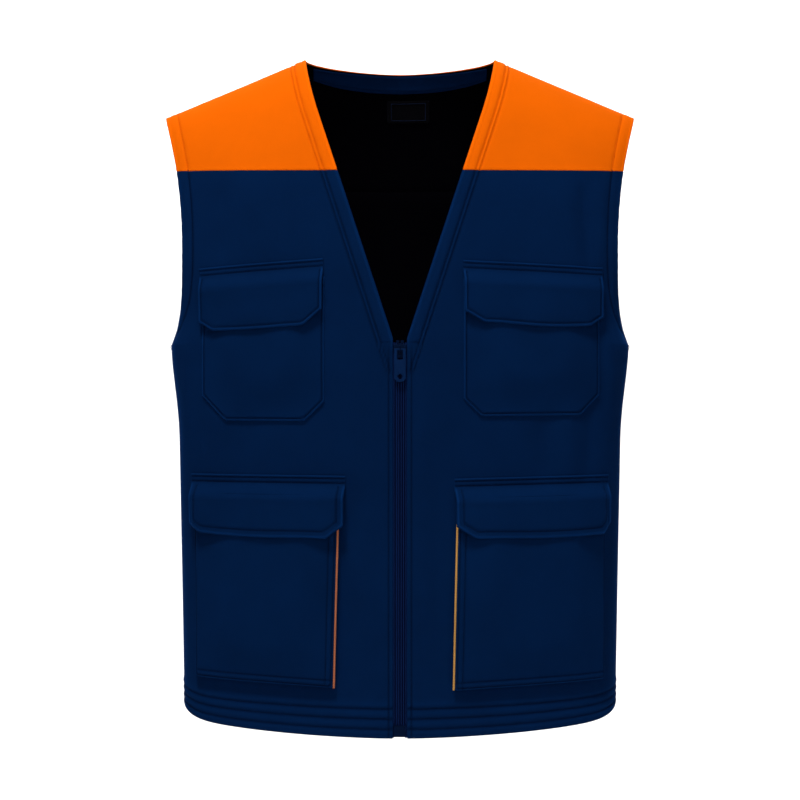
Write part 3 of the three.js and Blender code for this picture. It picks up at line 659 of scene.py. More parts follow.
def declare_sheet(points, width=None):
    """Works out a sheet's longest row, its longest column and its area, and does not use them."""
    a, b, c, d = points[:-1, :-1], points[:-1, 1:], points[1:, 1:], points[1:, :-1]
    area = np.linalg.norm(np.cross(c - a, d - b), axis=-1).sum() / 2
    width = width or np.linalg.norm(np.diff(points, axis=1), axis=-1).sum(1).max()
    length = np.linalg.norm(np.diff(points, axis=0), axis=-1).sum(0).max()
    area = min(area, width * length)


def cloth_piece(name, cloth, layer, look, replaces, body=None):
    """A sheet that fills one layer of a grid of cloth."""
    outer, inner = layer
    piece = add_piece(name, slab_mesh(cloth.at(outer), cloth.at(inner)), look, body, [replaces], cloth.tone)
    declare_sheet(cloth.points, cloth.width)
    return piece


# ---- Rows of cloth ----

HEM_BAND = np.arange(0, 37, 1.1)


def panel_heights(step=5.0):
    """Rows for a shell panel, close together at the hem and the underarm."""
    body = np.arange(41, UNDERARM_HEIGHT - 3, step)
    underarm = np.arange(UNDERARM_HEIGHT, UNDERARM_HEIGHT + 26, 0.9)
    chest = np.arange(UNDERARM_HEIGHT + 28, YOKE_HEIGHT - 6, step)
    top = YOKE_HEIGHT - np.array([4, 2, 1])
    return np.concatenate([HEM_BAND, body, underarm, chest, top])


def coarse_heights(step, gap):
    """Rows for a lining, from the hem to just below the yoke."""
    return np.concatenate([[0.6, 3], np.arange(8, YOKE_HEIGHT - 3, step), [YOKE_HEIGHT - gap]])


def panel_line(height, start, end, face, in_seam=True):
    """A row across a panel, finer towards its side, where it can end square in the side seam."""
    x = end - (end - start) * (1 - np.linspace(0, 1, 240)) ** 3
    z = cloth_height(height, x)
    line = np.stack([x, body_y(x, z, face), z], -1)
    reach = SEAM_GAP + UNDERARM_SPREAD * max(0.0, height - UNDERARM_HEIGHT)
    if in_seam and reach < abs(line[-1, 1]):
        line = np.vstack([line, [x[-1], face["sign"] * reach, z[-1]]])
    return line


def yoke_shares(count):
    return np.concatenate([[0, 0.012], np.linspace(0.035, 0.93, count), [0.955, 0.975, 0.99, 1.0]])


def front_yoke_line(share, samples=160):
    """A row across a front yoke, a share of the way from its lower seam to the shoulder."""
    rise = math.sin(share * math.pi / 2)
    tip_height = shoulder_line(TIP_HALF_WIDTH)
    start = neck_edge_x(lerp(YOKE_HEIGHT, NECK_HEIGHT, rise))
    end = edge_x(lerp(YOKE_HEIGHT, tip_height, rise))
    c = np.linspace(0, 1, samples)
    x = lerp(start, end, c)
    top = shoulder_line(lerp(NECK_HALF_WIDTH, TIP_HALF_WIDTH, c))
    z = lerp(YOKE_HEIGHT, top, rise)
    z = cloth_height(z, x * (1 - share)) if share < 1 else shoulder_line(x)
    y = body_y(x, z, FRONT) if share < 1 else np.zeros(samples)
    return np.stack([x, y, z], -1)


def back_yoke_line(share, samples=220):
    """A row across half the back yoke, from its lower seam to the shoulder and the neckline."""
    rise = math.sin(share * math.pi / 2)
    outer = float(edge_x(lerp(YOKE_HEIGHT, shoulder_line(TIP_HALF_WIDTH), rise)))
    c = np.linspace(0, 1, samples)
    bottom = edge_x(YOKE_HEIGHT) * c
    top = TIP_HALF_WIDTH * c
    x = lerp(bottom * outer / edge_x(YOKE_HEIGHT), top, share**1.5)
    z = lerp(cloth_height(np.full(samples, YOKE_HEIGHT), bottom), back_top(top), rise)
    y = body_y(x, z, BACK)
    if share == 1:
        y = np.where(np.abs(top) >= NECK_HALF_WIDTH, 0, y)
    return np.stack([x, y, z], -1)


def edge_spacing(fine_start, fine_end, middle_step, count):
    """Places along a row: close together near both ends, even between."""

    def spacing(length):
        start = np.array(fine_start, float)
        end = length - np.array(fine_end, float)[::-1]
        if start[-1] >= end[0]:
            scale = length / (start[-1] + fine_end[-1] + middle_step)
            start, end = start * scale, length - np.array(fine_end, float)[::-1] * scale
        middle = np.linspace(start[-1], end[0], count + 2)[1:-1]
        return np.concatenate([start, middle, end])

    return spacing


FINE_EDGE = [
    0, 0.8, 1.6, 2.4, 3.4, 4.6, 6, 7.6, 9.2, 10.6, 11.6, 12.5, 13.4, 14.5, 15.6, 16.5, 17.4, 18.6, 20.5,
]
FINE_SIDE = [0, 0.8, 1.8, 3.2, 5, 7, 9, 10.8, 12.3, 13.5, 14.7, 16.2, 18.5]
FRONT_SPACING = edge_spacing(FINE_EDGE, FINE_SIDE, 5, 54)
BACK_SPACING = edge_spacing([0], FINE_SIDE, 5, 46)


def armhole_edge(cloth, column, rows=slice(None)):
    """The edge of the armhole along one side of a grid, from the underarm up, finely spaced."""
    edge = cloth.points[rows, column]
    along = path_lengths(edge)
    return values_at(np.arange(0, along[-1], 2.0), along, edge)


def distance_to(edge, points):
    """Each point's distance to the nearest point of an edge."""
    apart = points[..., None, :] - edge
    return np.sqrt((apart**2).sum(-1).min(-1))


def distance_from_v(points):
    """Each point's distance outward from the edge of the V."""
    return (np.abs(points[..., 0]) - neck_edge_x(points[..., 2])) / V_LEAN


def row_beside(cloth, edge, distance):
    """A line that runs beside an edge at a distance from it, laid on the cloth."""
    places = cloth.at(0).reshape(-1, 3)
    normals = cloth.normals.reshape(-1, 3)
    run = unit(np.gradient(edge, axis=0))
    near = ((edge[:, None] - places) ** 2).sum(-1).argmin(1)
    inward = np.cross(normals[near], run)
    inward = inward * np.sign(((places.mean(0) - edge) * inward).sum(-1))[:, None]
    path = edge + inward * distance
    near = ((path[:, None] - places) ** 2).sum(-1).argmin(1)
    up = normals[near]
    return path - up * ((path - places[near]) * up).sum(-1)[:, None], up


def nearest_row(heights, height):
    return int(np.argmin(np.abs(heights - height)))


def seam_v_and_armhole(cloth, armhole):
    """Sinks the rows of stitches along the V and round the armhole, and raises the cloth beside them."""
    z = cloth.points[..., 2]
    from_v = distance_from_v(cloth.points)
    for row in V_ROWS:
        cloth.groove(from_v - row, where=z >= V_ROWS_FOOT)
    cloth.puff(from_v - 1.2, 0.6, 1.4, 0.6, where=z >= 400)
    cloth.puff(from_v - 8, 0.8, 4, where=z >= 410)
    cloth.puff(from_v - 14.5, 0.5, 1.2, 0.3, where=z >= 384)
    from_armhole = distance_to(armhole, cloth.points)
    cloth.groove(from_armhole - ARMHOLE_ROW)
    cloth.puff(from_armhole - 7, 0.7, 4.5)
    cloth.puff(from_armhole - 1.2, 0.5, 1.4, 0.4)


def seam_zip_and_hem(cloth, heights):
    from_zip = np.abs(cloth.points[..., 0]) - ZIP_HALF_OPENING
    cloth.groove(from_zip - ZIP_ROW, 0.4, 0.8, where=cloth.points[..., 2] <= 405)
    for row in HEM_ROWS:
        cloth.groove(heights[:, None] - row, 0.5, 1.1)
    for crest in (5.0, 14.2, 24.8, 34.5):
        cloth.puff(heights[:, None] - crest, 0.7, 3.2, 0.2)


# ---- Fronts, back and yokes ----


def v_stitches(cloth, foot):
    """The two rows of stitches beside the V, from the given height up."""
    surface = cloth.at(0)
    from_v = distance_from_v(surface)
    rows = [i for i in range(len(surface)) if surface[i, 0, 2] >= foot]
    return [
        cloth.path_across(rows, lambda i: np.interp(0, from_v[i] - row, cloth.along[i])) for row in V_ROWS
    ]


def front_shell(side_name):
    """The panel and yoke of one front, with the stitches on both."""
    side = SIDES[side_name]
    heights = panel_heights()
    rows = [panel_line(h, front_edge_x(h), edge_x(h), FRONT) for h in heights]
    panel = Cloth(rows, FRONT_SPACING, FRONT).on_side(side)
    panel_armhole = armhole_edge(panel, -1, heights >= UNDERARM_HEIGHT)
    seam_v_and_armhole(panel, panel_armhole)
    seam_zip_and_hem(panel, heights)
    yoke = Cloth([front_yoke_line(s) for s in yoke_shares(46)], FRONT_SPACING, FRONT).on_side(side)
    yoke_armhole = armhole_edge(yoke, -1)
    seam_v_and_armhole(yoke, yoke_armhole)
    # The yoke's lower edge is turned under and lies on the panel.
    yoke.offset = yoke.offset + 0.6 * ridge(yoke.points[..., 2] - YOKE_HEIGHT, 5)

    low, high = (nearest_row(heights, height) for height in ZIP_ROW_HEIGHTS)
    navy = v_stitches(panel, V_ROWS_FOOT + 1)
    navy.append(panel.path_across(range(low, high), lambda i: ZIP_ROW))
    navy.append(row_beside(panel, panel_armhole, ARMHOLE_ROW))
    navy += [panel.path_along(nearest_row(heights, row)) for row in HEM_ROWS]
    orange = [*v_stitches(yoke, 0), row_beside(yoke, yoke_armhole, ARMHOLE_ROW)]
    return [
        cloth_piece(f"{side_name}_front_cloth", panel, SHELL_LAYER, "navy_shell", f"{side_name}_front_panel"),
        cloth_piece(f"{side_name}_yoke_cloth", yoke, SHELL_LAYER, "orange_shell", f"{side_name}_front_yoke"),
        add_stitches(f"{side_name}_front_stitches", navy, "navy_thread"),
        add_stitches(f"{side_name}_yoke_stitches", orange, "orange_thread"),
    ]


def front_inside(side_name):
    """The lining, the facing behind the V and the zip, and the yoke's lining."""
    heights = coarse_heights(9.0, 1.0)
    rows = {
        "lining": [
            panel_line(h, front_edge_x(h) + FACING_WIDTH + 0.3, edge_x(h) - 0.4, FRONT) for h in heights
        ],
        "facing": [
            panel_line(h, front_edge_x(h) + 0.2, front_edge_x(h) + FACING_WIDTH, FRONT, in_seam=False)
            for h in heights
        ],
        "yoke_lining": [front_yoke_line(s) for s in (0.004, *np.linspace(0.04, YOKE_LINING_TOP, 22))],
    }
    plans = (
        ("lining", edge_spacing([0, 2], [0, 2, 5], 9, 24), "lining", "front_lining"),
        ("facing", edge_spacing([0, 1.5], [0, 1.5], 4, 5), "navy_facing", "front_facing"),
        ("yoke_lining", edge_spacing([0, 2], [0, 2, 5], 9, 26), "lining", "yoke_lining"),
    )
    pieces = []
    for part, spacing, look, node in plans:
        cloth = Cloth(rows[part], spacing, FRONT).on_side(SIDES[side_name])
        name = f"{side_name}_{part}_cloth"
        pieces.append(cloth_piece(name, cloth, LINING_LAYER, look, f"{side_name}_{node}"))
    return pieces


def hang_from_shoulder(piece):
    """Bakes the piece's transform into its mesh."""
    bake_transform(piece)


def build_front(side_name):
    for piece in front_shell(side_name) + front_inside(side_name):
        hang_from_shoulder(piece)


def build_back():
    heights = panel_heights(6.0)
    panel = Cloth([panel_line(h, 0.0, edge_x(h), BACK) for h in heights], BACK_SPACING, BACK).mirrored()
    yoke = Cloth([back_yoke_line(s) for s in yoke_shares(40)], BACK_SPACING, BACK).mirrored()
    armholes = [armhole_edge(panel, column, heights >= UNDERARM_HEIGHT) for column in (0, -1)]
    yoke_armholes = [armhole_edge(yoke, column) for column in (0, -1)]
    for cloth, edges in ((panel, armholes), (yoke, yoke_armholes)):
        for edge in edges:
            cloth.groove(distance_to(edge, cloth.points) - ARMHOLE_ROW)
    for row in HEM_ROWS:
        panel.groove(heights[:, None] - row, 0.7, 1.3)
    cloth_piece("back_cloth", panel, SHELL_LAYER, "navy_shell", "back_panel", ROOT)
    cloth_piece("back_yoke_cloth", yoke, SHELL_LAYER, "orange_shell", "back_yoke", ROOT)

    navy = [panel.path_along(nearest_row(heights, row)) for row in HEM_ROWS]
    navy += [row_beside(panel, edge, ARMHOLE_ROW) for edge in armholes]
    orange = [row_beside(yoke, edge, ARMHOLE_ROW) for edge in yoke_armholes]
    add_stitches("back_stitches", navy, "navy_thread", ROOT)
    add_stitches("back_yoke_stitches", orange, "orange_thread", ROOT)

    rows = [panel_line(h, 0.0, edge_x(h) - 0.4, BACK) for h in coarse_heights(10.0, 0.05)]
    lining = Cloth(rows, edge_spacing([0], [0, 2, 5], 9, 28), BACK).mirrored()
    cloth_piece("back_lining_cloth", lining, LINING_LAYER, "lining", "back_lining", ROOT)
    rows = [back_yoke_line(s) for s in (0, *np.linspace(0.04, YOKE_LINING_TOP, 24))]
    lining = Cloth(rows, edge_spacing([0], [0, 2, 5], 9, 30), BACK).mirrored()
    cloth_piece("back_yoke_lining_cloth", lining, LINING_LAYER, "lining", "back_yoke_lining", ROOT)


# ---- Pockets ----

# Heights of the fold, drops below it, insets of the bag's sides and heights of its lower edge are
# given at the pocket's inner and outer ends. "corner" and "chamfer" are the cuts of the flap's and
# the bag's corners, "wall", "dome" and "mouth" say how far the bag stands off the front, and "row"
# is the flap's row of stitches, from its edge.
POCKETS = {
    "left_chest": {
        "side": 1, "inner": 66, "outer": 212, "fold": (487, 481), "drop": (57, 54), "wave": 1.5,
        "corner": ((20, 12), (15, 9)), "low": (0, 0), "high": (-3, -3), "bottom": (333, 335),
        "chamfer": (18, 21), "wall": 1.9, "dome": 6.5, "mouth": 6.0, "row": 2.8,
    },
    "right_chest": {
        "side": -1, "inner": 80, "outer": 210, "fold": (489, 480), "drop": (61, 58), "wave": 0.6,
        "corner": ((19, 16), (16, 10)), "low": (-2, -2), "high": (-2, -3), "bottom": (328, 329),
        "chamfer": (21, 26), "wall": 1.9, "dome": 6.5, "mouth": 6.0, "row": 2.8,
    },
    "left_cargo": {
        "side": 1, "inner": 57, "outer": 219, "fold": (260, 264), "drop": (54, 53), "wave": 0.8,
        "corner": ((19, 13), (9, 11)), "low": (2.5, -2), "high": (-4, -4), "bottom": (49, 58),
        "chamfer": (3, 3), "wall": 7.0, "dome": 9.0, "mouth": 8.0, "row": 6.6,
    },
    "right_cargo": {
        "side": -1, "inner": 57, "outer": 219, "fold": (263, 265), "drop": (57, 52), "wave": 0.8,
        "corner": ((17, 14), (13, 8)), "low": (6, 11), "high": (-3, -5), "bottom": (51, 61),
        "chamfer": (3, 3), "wall": 7.0, "dome": 9.0, "mouth": 8.0, "row": 6.6,
    },
}
MOUTH_DROP = 11.0
HEADING_HEIGHT = 8.0
BAG_EDGE_ROW = 2.6
BAG_HEM_ROW = 8.3
MOUTH_ROW = 9.5
HEADING_ROWS = (0.6, HEADING_HEIGHT - 2.4)
BAG_THICKNESS = 1.1
FLAP_THICKNESS = 1.6
FLAP_BEND = 9.0
PATCH_WIDTH = 64.0
PATCH_HEIGHT = 16.0
PATCH_RISE = 25.0
PIPING_RADIUS = 1.1


FINE_POCKET_EDGE = (0, 0.3, 0.6, 1.0, 1.5, 2.1, 2.6, 3.1, 3.8, 4.8, 6.2, 7.4, 8.3, 9.2, 11)


def nearest(edges):
    """The smallest of several distances."""
    return np.min(np.broadcast_arrays(*edges), axis=0)


def rounded_nearest(edges, rounding):
    """The smallest of several distances, rounded off where two are alike."""
    return -rounding * np.log(sum(np.exp(-np.clip(e, -20, 400) / rounding) for e in edges))


class Pocket:
    """A pocket's own frame: u outward along the vest, v height, and a distance off the cloth."""

    def __init__(self, pocket):
        self.pocket = pocket
        self.side = pocket["side"]
        self.deep = pocket["wall"] > 3
        middle = sum(pocket["fold"]) / 2
        ends = [np.array([x, float(body_y(x, middle, FRONT))]) for x in (pocket["inner"], pocket["outer"])]
        self.start = ends[0]
        self.width = float(np.linalg.norm(ends[1] - ends[0]))
        self.along = (ends[1] - ends[0]) / self.width
        self.out = np.array([self.along[1], -self.along[0]])

    def spot(self, u, w):
        """x and y of a place, w off the line between the pocket's ends."""
        return [self.start[k] + self.along[k] * u + self.out[k] * w for k in (0, 1)]

    def cloth(self, u, v):
        """How far the draped front stands off the pocket's base line."""
        low = np.full(np.broadcast(u, v).shape, -60.0)
        high = -low
        for _ in range(30):
            middle = (low + high) / 2
            x, y = self.spot(u, middle)
            outside = y < body_y(x, v, FRONT)
            high = np.where(outside, middle, high)
            low = np.where(outside, low, middle)
        middle = (low + high) / 2
        x = self.spot(u, middle)[0]
        return middle + drape(self.side * x, v + 0 * x, FRONT)

    def surface(self, u, v, height):
        x, y = self.spot(u, self.cloth(u, v) + height)
        return np.stack([self.side * x, y, v + 0 * x], -1)

    def fold(self, u):
        inner, outer = self.pocket["fold"]
        return lerp(inner, outer, u / self.width)

    def mouth(self, u):
        return self.fold(u) - MOUTH_DROP

    def share_down(self, u, v):
        """0 at the bag's mouth and 1 at its lower edge."""
        return (self.mouth(u) - v) / (self.mouth(u) - self.pocket["bottom"][0])

    def bag_edges(self, u, v):
        """Distances inside the bag's inner, outer and lower edges and its two cut corners."""
        p = self.pocket
        share = np.clip(self.share_down(u, v), 0, 1.1)
        low = lerp(p["low"][0], p["low"][1], share)
        high = self.width + lerp(p["high"][0], p["high"][1], share)
        bottom = lerp(p["bottom"][0], p["bottom"][1], u / self.width)
        inner_cut = (u - low + v - bottom - p["chamfer"][0]) / math.sqrt(2)
        outer_cut = (high - u + v - bottom - p["chamfer"][1]) / math.sqrt(2)
        return u - low, high - u, v - bottom, inner_cut, outer_cut

    def bag_shading(self, u, v):
        """Painted shade in the rows of stitches, and a painted highlight along the edges."""
        edges = self.bag_edges(u, v)
        sharp = nearest(edges)
        tone = 0.7 * ridge(sharp - 0.8, 0.9) - ridge(sharp - BAG_EDGE_ROW, 0.9)
        tone = tone - ridge(self.mouth(u) - v - MOUTH_ROW, 1.0)
        if self.deep:
            tone = tone - ridge(edges[2] - BAG_HEM_ROW, 1.0) - 0.8 * ridge(edges[0] - BAG_HEM_ROW, 0.9)
        return np.clip(tone, -1, 1)

    def bag_height(self, u, v):
        """How far the bag's outer face stands off the cloth."""
        p = self.pocket
        edges = self.bag_edges(u, v)
        sharp = nearest(edges)
        soft = rounded_nearest(edges, 9)
        wall = p["wall"] * (1 - np.exp(-((np.clip(sharp, 0, None) / 1.1) ** 1.4)))
        down = np.clip(self.share_down(u, v), 0, 1)
        swell = lerp(p["mouth"], p["dome"], smoothstep(down, 0, 0.6))
        swell = swell * (1 - 0.35 * smoothstep(down, 0.6, 1))
        height = 0.5 + wall + swell * smoothstep(soft, 0, 42)
        height = height + 0.8 * ridge(sharp - 1.0, 1.0) - ridge(sharp - BAG_EDGE_ROW, 0.8)
        from_mouth = self.mouth(u) - v
        height = height + 0.5 * ridge(from_mouth - 4.5, 4.0, 4) - 0.4 * ridge(from_mouth - MOUTH_ROW, 0.9)
        if self.deep:
            height = height + 0.45 * ridge(edges[2] - 4.5, 3.0) - 0.6 * ridge(edges[2] - BAG_HEM_ROW, 1.0)
            height = height - 0.45 * ridge(edges[0] - BAG_HEM_ROW, 0.9)
        return height + 0.35 * np.sin(u / 14.0 + v / 33.0) * smoothstep(soft, 6, 30)

    def flap_edges(self, u, v):
        """Distances inside the flap's sides, its lower edge and its two cut corners."""
        bottom = self.flap_bottom_line(u)
        cuts = []
        for (du, dv), run in zip(self.pocket["corner"], (u, self.width - u)):
            size = math.hypot(du, dv)
            cuts.append((run * dv + (v - bottom) * du - du * dv) / size)
        return u, self.width - u, v - bottom, *cuts

    def flap_bottom_line(self, u):
        p = self.pocket
        share = u / self.width
        wave = p["wave"] * np.sin(share * 2 * math.pi * 1.1 + 0.6)
        return self.fold(u) - lerp(p["drop"][0], p["drop"][1], share) + wave

    def flap_bottom(self, u):
        """The lower edge with its two cut corners."""
        rise = 0 * u
        for (du, dv), run in zip(self.pocket["corner"], (u, self.width - u)):
            rise = np.maximum(rise, dv * (1 - np.clip(run, 0, None) / du))
        return self.flap_bottom_line(u) + rise

    def flap_shading(self, u, v):
        # Painted highlight along the flap's edges and the top of its heading, painted shade in its rows of
        # stitches.
        drop = self.fold(u) - v
        sharp = nearest(self.flap_edges(u, v))
        tone = 0.8 * ridge(sharp - 0.9, 1.1) * smoothstep(drop, 0, 3)
        tone = tone - ridge(sharp - self.pocket["row"], 0.9) * smoothstep(drop, 2, 5)
        tone = tone - ridge(drop + HEADING_ROWS[0], 0.9) - 0.9 * ridge(drop + HEADING_ROWS[1], 0.9)
        tone = tone + 0.6 * ridge(drop + HEADING_HEIGHT - 0.6, 0.8)
        return np.clip(tone, -1, 1)

    def flap_height(self, u, v):
        """How far the flap's outer face stands off the cloth."""
        p = self.pocket
        drop = self.fold(u) - v
        edges = self.flap_edges(u, v)
        sharp = nearest(edges)
        soft = rounded_nearest(edges, 7)
        over_bag = self.bag_height(u, np.minimum(v, self.mouth(u) - 1))
        tallest = p["wall"] + p["mouth"] + 3.4
        level = lerp(over_bag + 3.6, tallest, 0.6)
        height = lerp(2.1, level, smoothstep(drop, 0, 16))
        height = height + 1.4 * smoothstep(drop, 22, 56) * smoothstep(soft, -4, 16)
        curl = -0.9 * np.exp(-np.clip(sharp, 0, None) / 5) * smoothstep(drop, 14, 40)
        groove = 0.9 * ridge(sharp - p["row"], 0.8) * smoothstep(drop, 2, 5)
        top_groove = 0.7 * ridge(drop + HEADING_ROWS[0], 0.8) + 0.5 * ridge(drop + HEADING_ROWS[1], 0.8)
        roll = 0.8 * ridge(sharp - 1.2, 1.3) * smoothstep(drop, 2, 5)
        roll = roll + 0.5 * ridge(drop + HEADING_HEIGHT - 0.8, 1.0)
        ripple = 0.5 * np.sin(u / 11.0 + 1.0) * smoothstep(drop, 12, 50)
        return height + curl - groove - top_groove + roll + ripple


def near_edges(low, high, step=3.2, fine=FINE_POCKET_EDGE):
    """Places between two edges: close together near both, even between."""
    fine = np.array(fine, float)
    count = max(3, int((high - low - 2 * fine[-1]) / step))
    middle = np.linspace(low + fine[-1], high - fine[-1], count)[1:-1]
    return np.concatenate([low + fine, middle, high - fine[::-1]])


def offset_line(pocket, path_u, path_v, height):
    """A line on a pocket's face, with the outward direction at each point."""
    path_u, path_v = np.asarray(path_u, float), np.asarray(path_v, float)
    points = pocket.surface(path_u, path_v, height(path_u, path_v))
    du = pocket.surface(path_u + 0.5, path_v, height(path_u + 0.5, path_v)) - points
    dv = pocket.surface(path_u, path_v + 0.5, height(path_u, path_v + 0.5)) - points
    normals = unit(np.cross(du, dv))
    normals = normals * np.sign(-normals[:, 1:2])
    return points, normals


def densify(corners, step=2.0):
    """Evenly spaced points along an outline given by its corners."""
    u, v = [], []
    for (u0, v0), (u1, v1) in zip(corners, corners[1:]):
        count = max(2, int(math.hypot(u1 - u0, v1 - v0) / step))
        u.extend(np.linspace(u0, u1, count, endpoint=False))
        v.extend(np.linspace(v0, v1, count, endpoint=False))
    u.append(corners[-1][0])
    v.append(corners[-1][1])
    return np.array(u), np.array(v)


def build_bag(name, pocket, body):
    p = pocket.pocket
    tall = p["fold"][0] - p["bottom"][0]
    su, sv = np.meshgrid(near_edges(0, pocket.width) / pocket.width, near_edges(0, tall) / tall)
    low = lerp(p["low"][1], p["low"][0], sv)
    high = pocket.width + lerp(p["high"][1], p["high"][0], sv)
    u = lerp(low, high, su)
    bottom = lerp(p["bottom"][0], p["bottom"][1], u / pocket.width)
    inner_cut = np.maximum(0, p["chamfer"][0] - (u - low))
    outer_cut = np.maximum(0, p["chamfer"][1] - (high - u))
    bottom = bottom + np.maximum(inner_cut, outer_cut)
    v = lerp(bottom, pocket.mouth(u), sv)
    height = pocket.bag_height(u, v)
    outer = pocket.surface(u, v, height)
    inner = pocket.surface(u, v, np.maximum(height - BAG_THICKNESS, 0.15))
    tone = pocket.bag_shading(u, v)
    bag = add_piece(f"{name}_bag", slab_mesh(outer, inner), "navy_pocket", body, [f"{name}_pocket"], tone)
    declare_sheet(outer)
    add_stitches(f"{name}_bag_stitches", bag_stitch_lines(pocket), "navy_thread", body)


def bag_stitch_lines(pocket):
    """Round the bag's edge, along its mouth and, on a deep bag, beside its lower and inner edges."""
    p = pocket.pocket
    edge = BAG_EDGE_ROW
    mouth = pocket.mouth(0)
    b0, b1 = p["bottom"]
    c0, c1 = p["chamfer"]
    lean = 0.41 * edge
    low0, low1 = p["low"][0] + edge, p["low"][1] + edge
    high0, high1 = pocket.width + p["high"][0] - edge, pocket.width + p["high"][1] - edge
    outline = [
        (low0, mouth - 1), (low1, b0 + c0 + lean), (low1 + c0 - lean, b0 + edge),
        (high1 - c1 + lean, b1 + edge), (high1, b1 + c1 + lean), (high0, mouth - 3),
    ]
    lines = [offset_line(pocket, *densify(outline), pocket.bag_height)]
    across = np.linspace(low0 + 2, high0 - 2, 60)
    lines.append(offset_line(pocket, across, pocket.mouth(across) - MOUTH_ROW, pocket.bag_height))
    if pocket.deep:
        across = np.linspace(low1 + 6, high1 - 1, 60)
        rise = lerp(b0, b1, across / pocket.width) + BAG_HEM_ROW
        lines.append(offset_line(pocket, across, rise, pocket.bag_height))
        up = np.linspace(b0 + BAG_HEM_ROW, mouth - 1, 60)
        inner_u = lerp(p["low"][1], p["low"][0], (up - b0) / (mouth - b0)) + BAG_HEM_ROW
        lines.append(offset_line(pocket, inner_u, up, pocket.bag_height))
    return lines


# Rows of a flap's grid: drops below the fold, and rises above the lower edge.
FLAP_TOP_DROPS = (
    -HEADING_HEIGHT, -7.6, -7.1, -6.4, -5.4, -4.2, -3, -2.2, -1.4, -0.6, 0.2, 1, 2, 3, 4.2, 5.5, 7, 9,
)
FLAP_LAST_DROP = 42.0
FLAP_EDGE_RISES = (0, 0.3, 0.7, 1.3, 2.1, 3.1, 4.3, 5.2, 6.2, 7.2, 8.6, 10.5)


def build_flap(name, pocket):
    drops = np.concatenate([FLAP_TOP_DROPS, np.linspace(11, FLAP_LAST_DROP, 12)])[::-1, None]
    rises = np.array(FLAP_EDGE_RISES)[:, None]
    u = np.tile(near_edges(0, pocket.width), (len(rises) + len(drops), 1))
    bottom = pocket.flap_bottom(u[0])
    fold = pocket.fold(u[0])
    # Below the fold the drops are stretched to reach the rows beside the lower edge.
    stretch = (fold - bottom - FLAP_EDGE_RISES[-1] - 1.5) / FLAP_LAST_DROP
    v = np.concatenate([bottom + rises, fold - drops * np.where(drops > 0, stretch, 1.0)])
    height = pocket.flap_height(u, v)
    outer = pocket.surface(u, v, height)
    mesh = slab_mesh(outer, pocket.surface(u, v, height - FLAP_THICKNESS))
    nodes = [f"{name}_flap", f"{name}_flap_heading"]
    flap = add_piece(f"{name}_flap_cloth", mesh, "navy_pocket", None, nodes, pocket.flap_shading(u, v))
    declare_sheet(outer)
    stitches = add_stitches(f"{name}_flap_stitches", flap_stitch_lines(pocket), "navy_thread")

    middle = np.array(pocket.width / 2)
    start, end = (
        world(pocket.surface(middle, pocket.fold(middle) - drop, 3.0)) for drop in (0.5, 0.5 + FLAP_BEND)
    )
    for piece in (flap, stitches):
        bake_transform(piece)


def flap_stitch_lines(pocket):
    """Round the flap's edge, and two rows along its heading."""
    p = pocket.pocket
    edge = p["row"]
    width = pocket.width
    (du0, dv0), (du1, dv1) = p["corner"]
    line = pocket.flap_bottom_line
    inner_lean = edge * math.tan(math.atan2(dv0, du0) / 2)
    outer_lean = edge * math.tan(math.atan2(dv1, du1) / 2)
    bottom_u = np.linspace(du0 + inner_lean, width - du1 - outer_lean, 60)
    side_in = np.linspace(pocket.fold(edge) - 1, line(edge) + dv0 + inner_lean, 20)
    side_out = np.linspace(line(width - edge) + dv1 + outer_lean, pocket.fold(width - edge) - 1, 20)
    path_u = np.concatenate([np.full(20, edge), bottom_u, np.full(20, width - edge)])
    path_v = np.concatenate([side_in, line(bottom_u) + edge, side_out])
    lines = [offset_line(pocket, path_u, path_v, pocket.flap_height)]
    across = np.linspace(2.5, width - 2.5, 70)
    for row in HEADING_ROWS:
        lines.append(offset_line(pocket, across, pocket.fold(across) + row, pocket.flap_height))
    return lines


def build_patches(name, pocket, body, flap_body):
    """The hook and loop fastening: a soft patch on the bag, and a hooked one under the flap."""
    middle = pocket.width / 2
    u, v = np.meshgrid(
        near_edges(middle - PATCH_WIDTH / 2, middle + PATCH_WIDTH / 2, 2.5, (0, 0.4, 1.0, 2.0)),
        near_edges(-PATCH_HEIGHT / 2, PATCH_HEIGHT / 2, 2.5, (0, 0.4, 1.0, 2.0)),
    )
    v = v + pocket.fold(u) - pocket.pocket["drop"][0] + PATCH_RISE
    edge_u = np.minimum(u - u.min(), u.max() - u)
    pile = 0.25 * np.sin(u * 2.4) * np.sin(v * 2.1) * smoothstep(edge_u, 0, 2)
    low = pocket.bag_height(u, v)
    high = pocket.flap_height(u, v) - FLAP_THICKNESS
    loop = slab_mesh(pocket.surface(u, v, low + 1.3 + pile), pocket.surface(u, v, low + 0.1), 2)
    hook = slab_mesh(pocket.surface(u, v, high - 0.1), pocket.surface(u, v, high - 1.2 + pile), 2)
    add_piece(f"{name}_loop_pile", loop, "hook_and_loop", body, [f"{name}_loop_patch"])
    add_piece(f"{name}_hook_pile", hook, "hook_and_loop", flap_body, [f"{name}_hook_patch"])


def build_piping(name, pocket, body):
    """A corded edge: a folded strip of bright cloth round a cord, sewn into the inner seam."""
    p = pocket.pocket
    top = pocket.flap_bottom(np.array(2.0)) + 3
    v = np.linspace(p["bottom"][0] + 1.0, top, 220)
    u = lerp(p["low"][0], p["low"][1], pocket.share_down(0, v)) - 0.5
    path = pocket.surface(u, v, np.full_like(v, p["wall"] * 0.8))
    radius = PIPING_RADIUS + 0.12 * np.sin(v * 2.2)
    look = "golden_piping" if pocket.side > 0 else "piping"
    add_piece(f"{name}_corded_piping", tube_mesh(path, radius), look, body, [f"{name}_piping"])


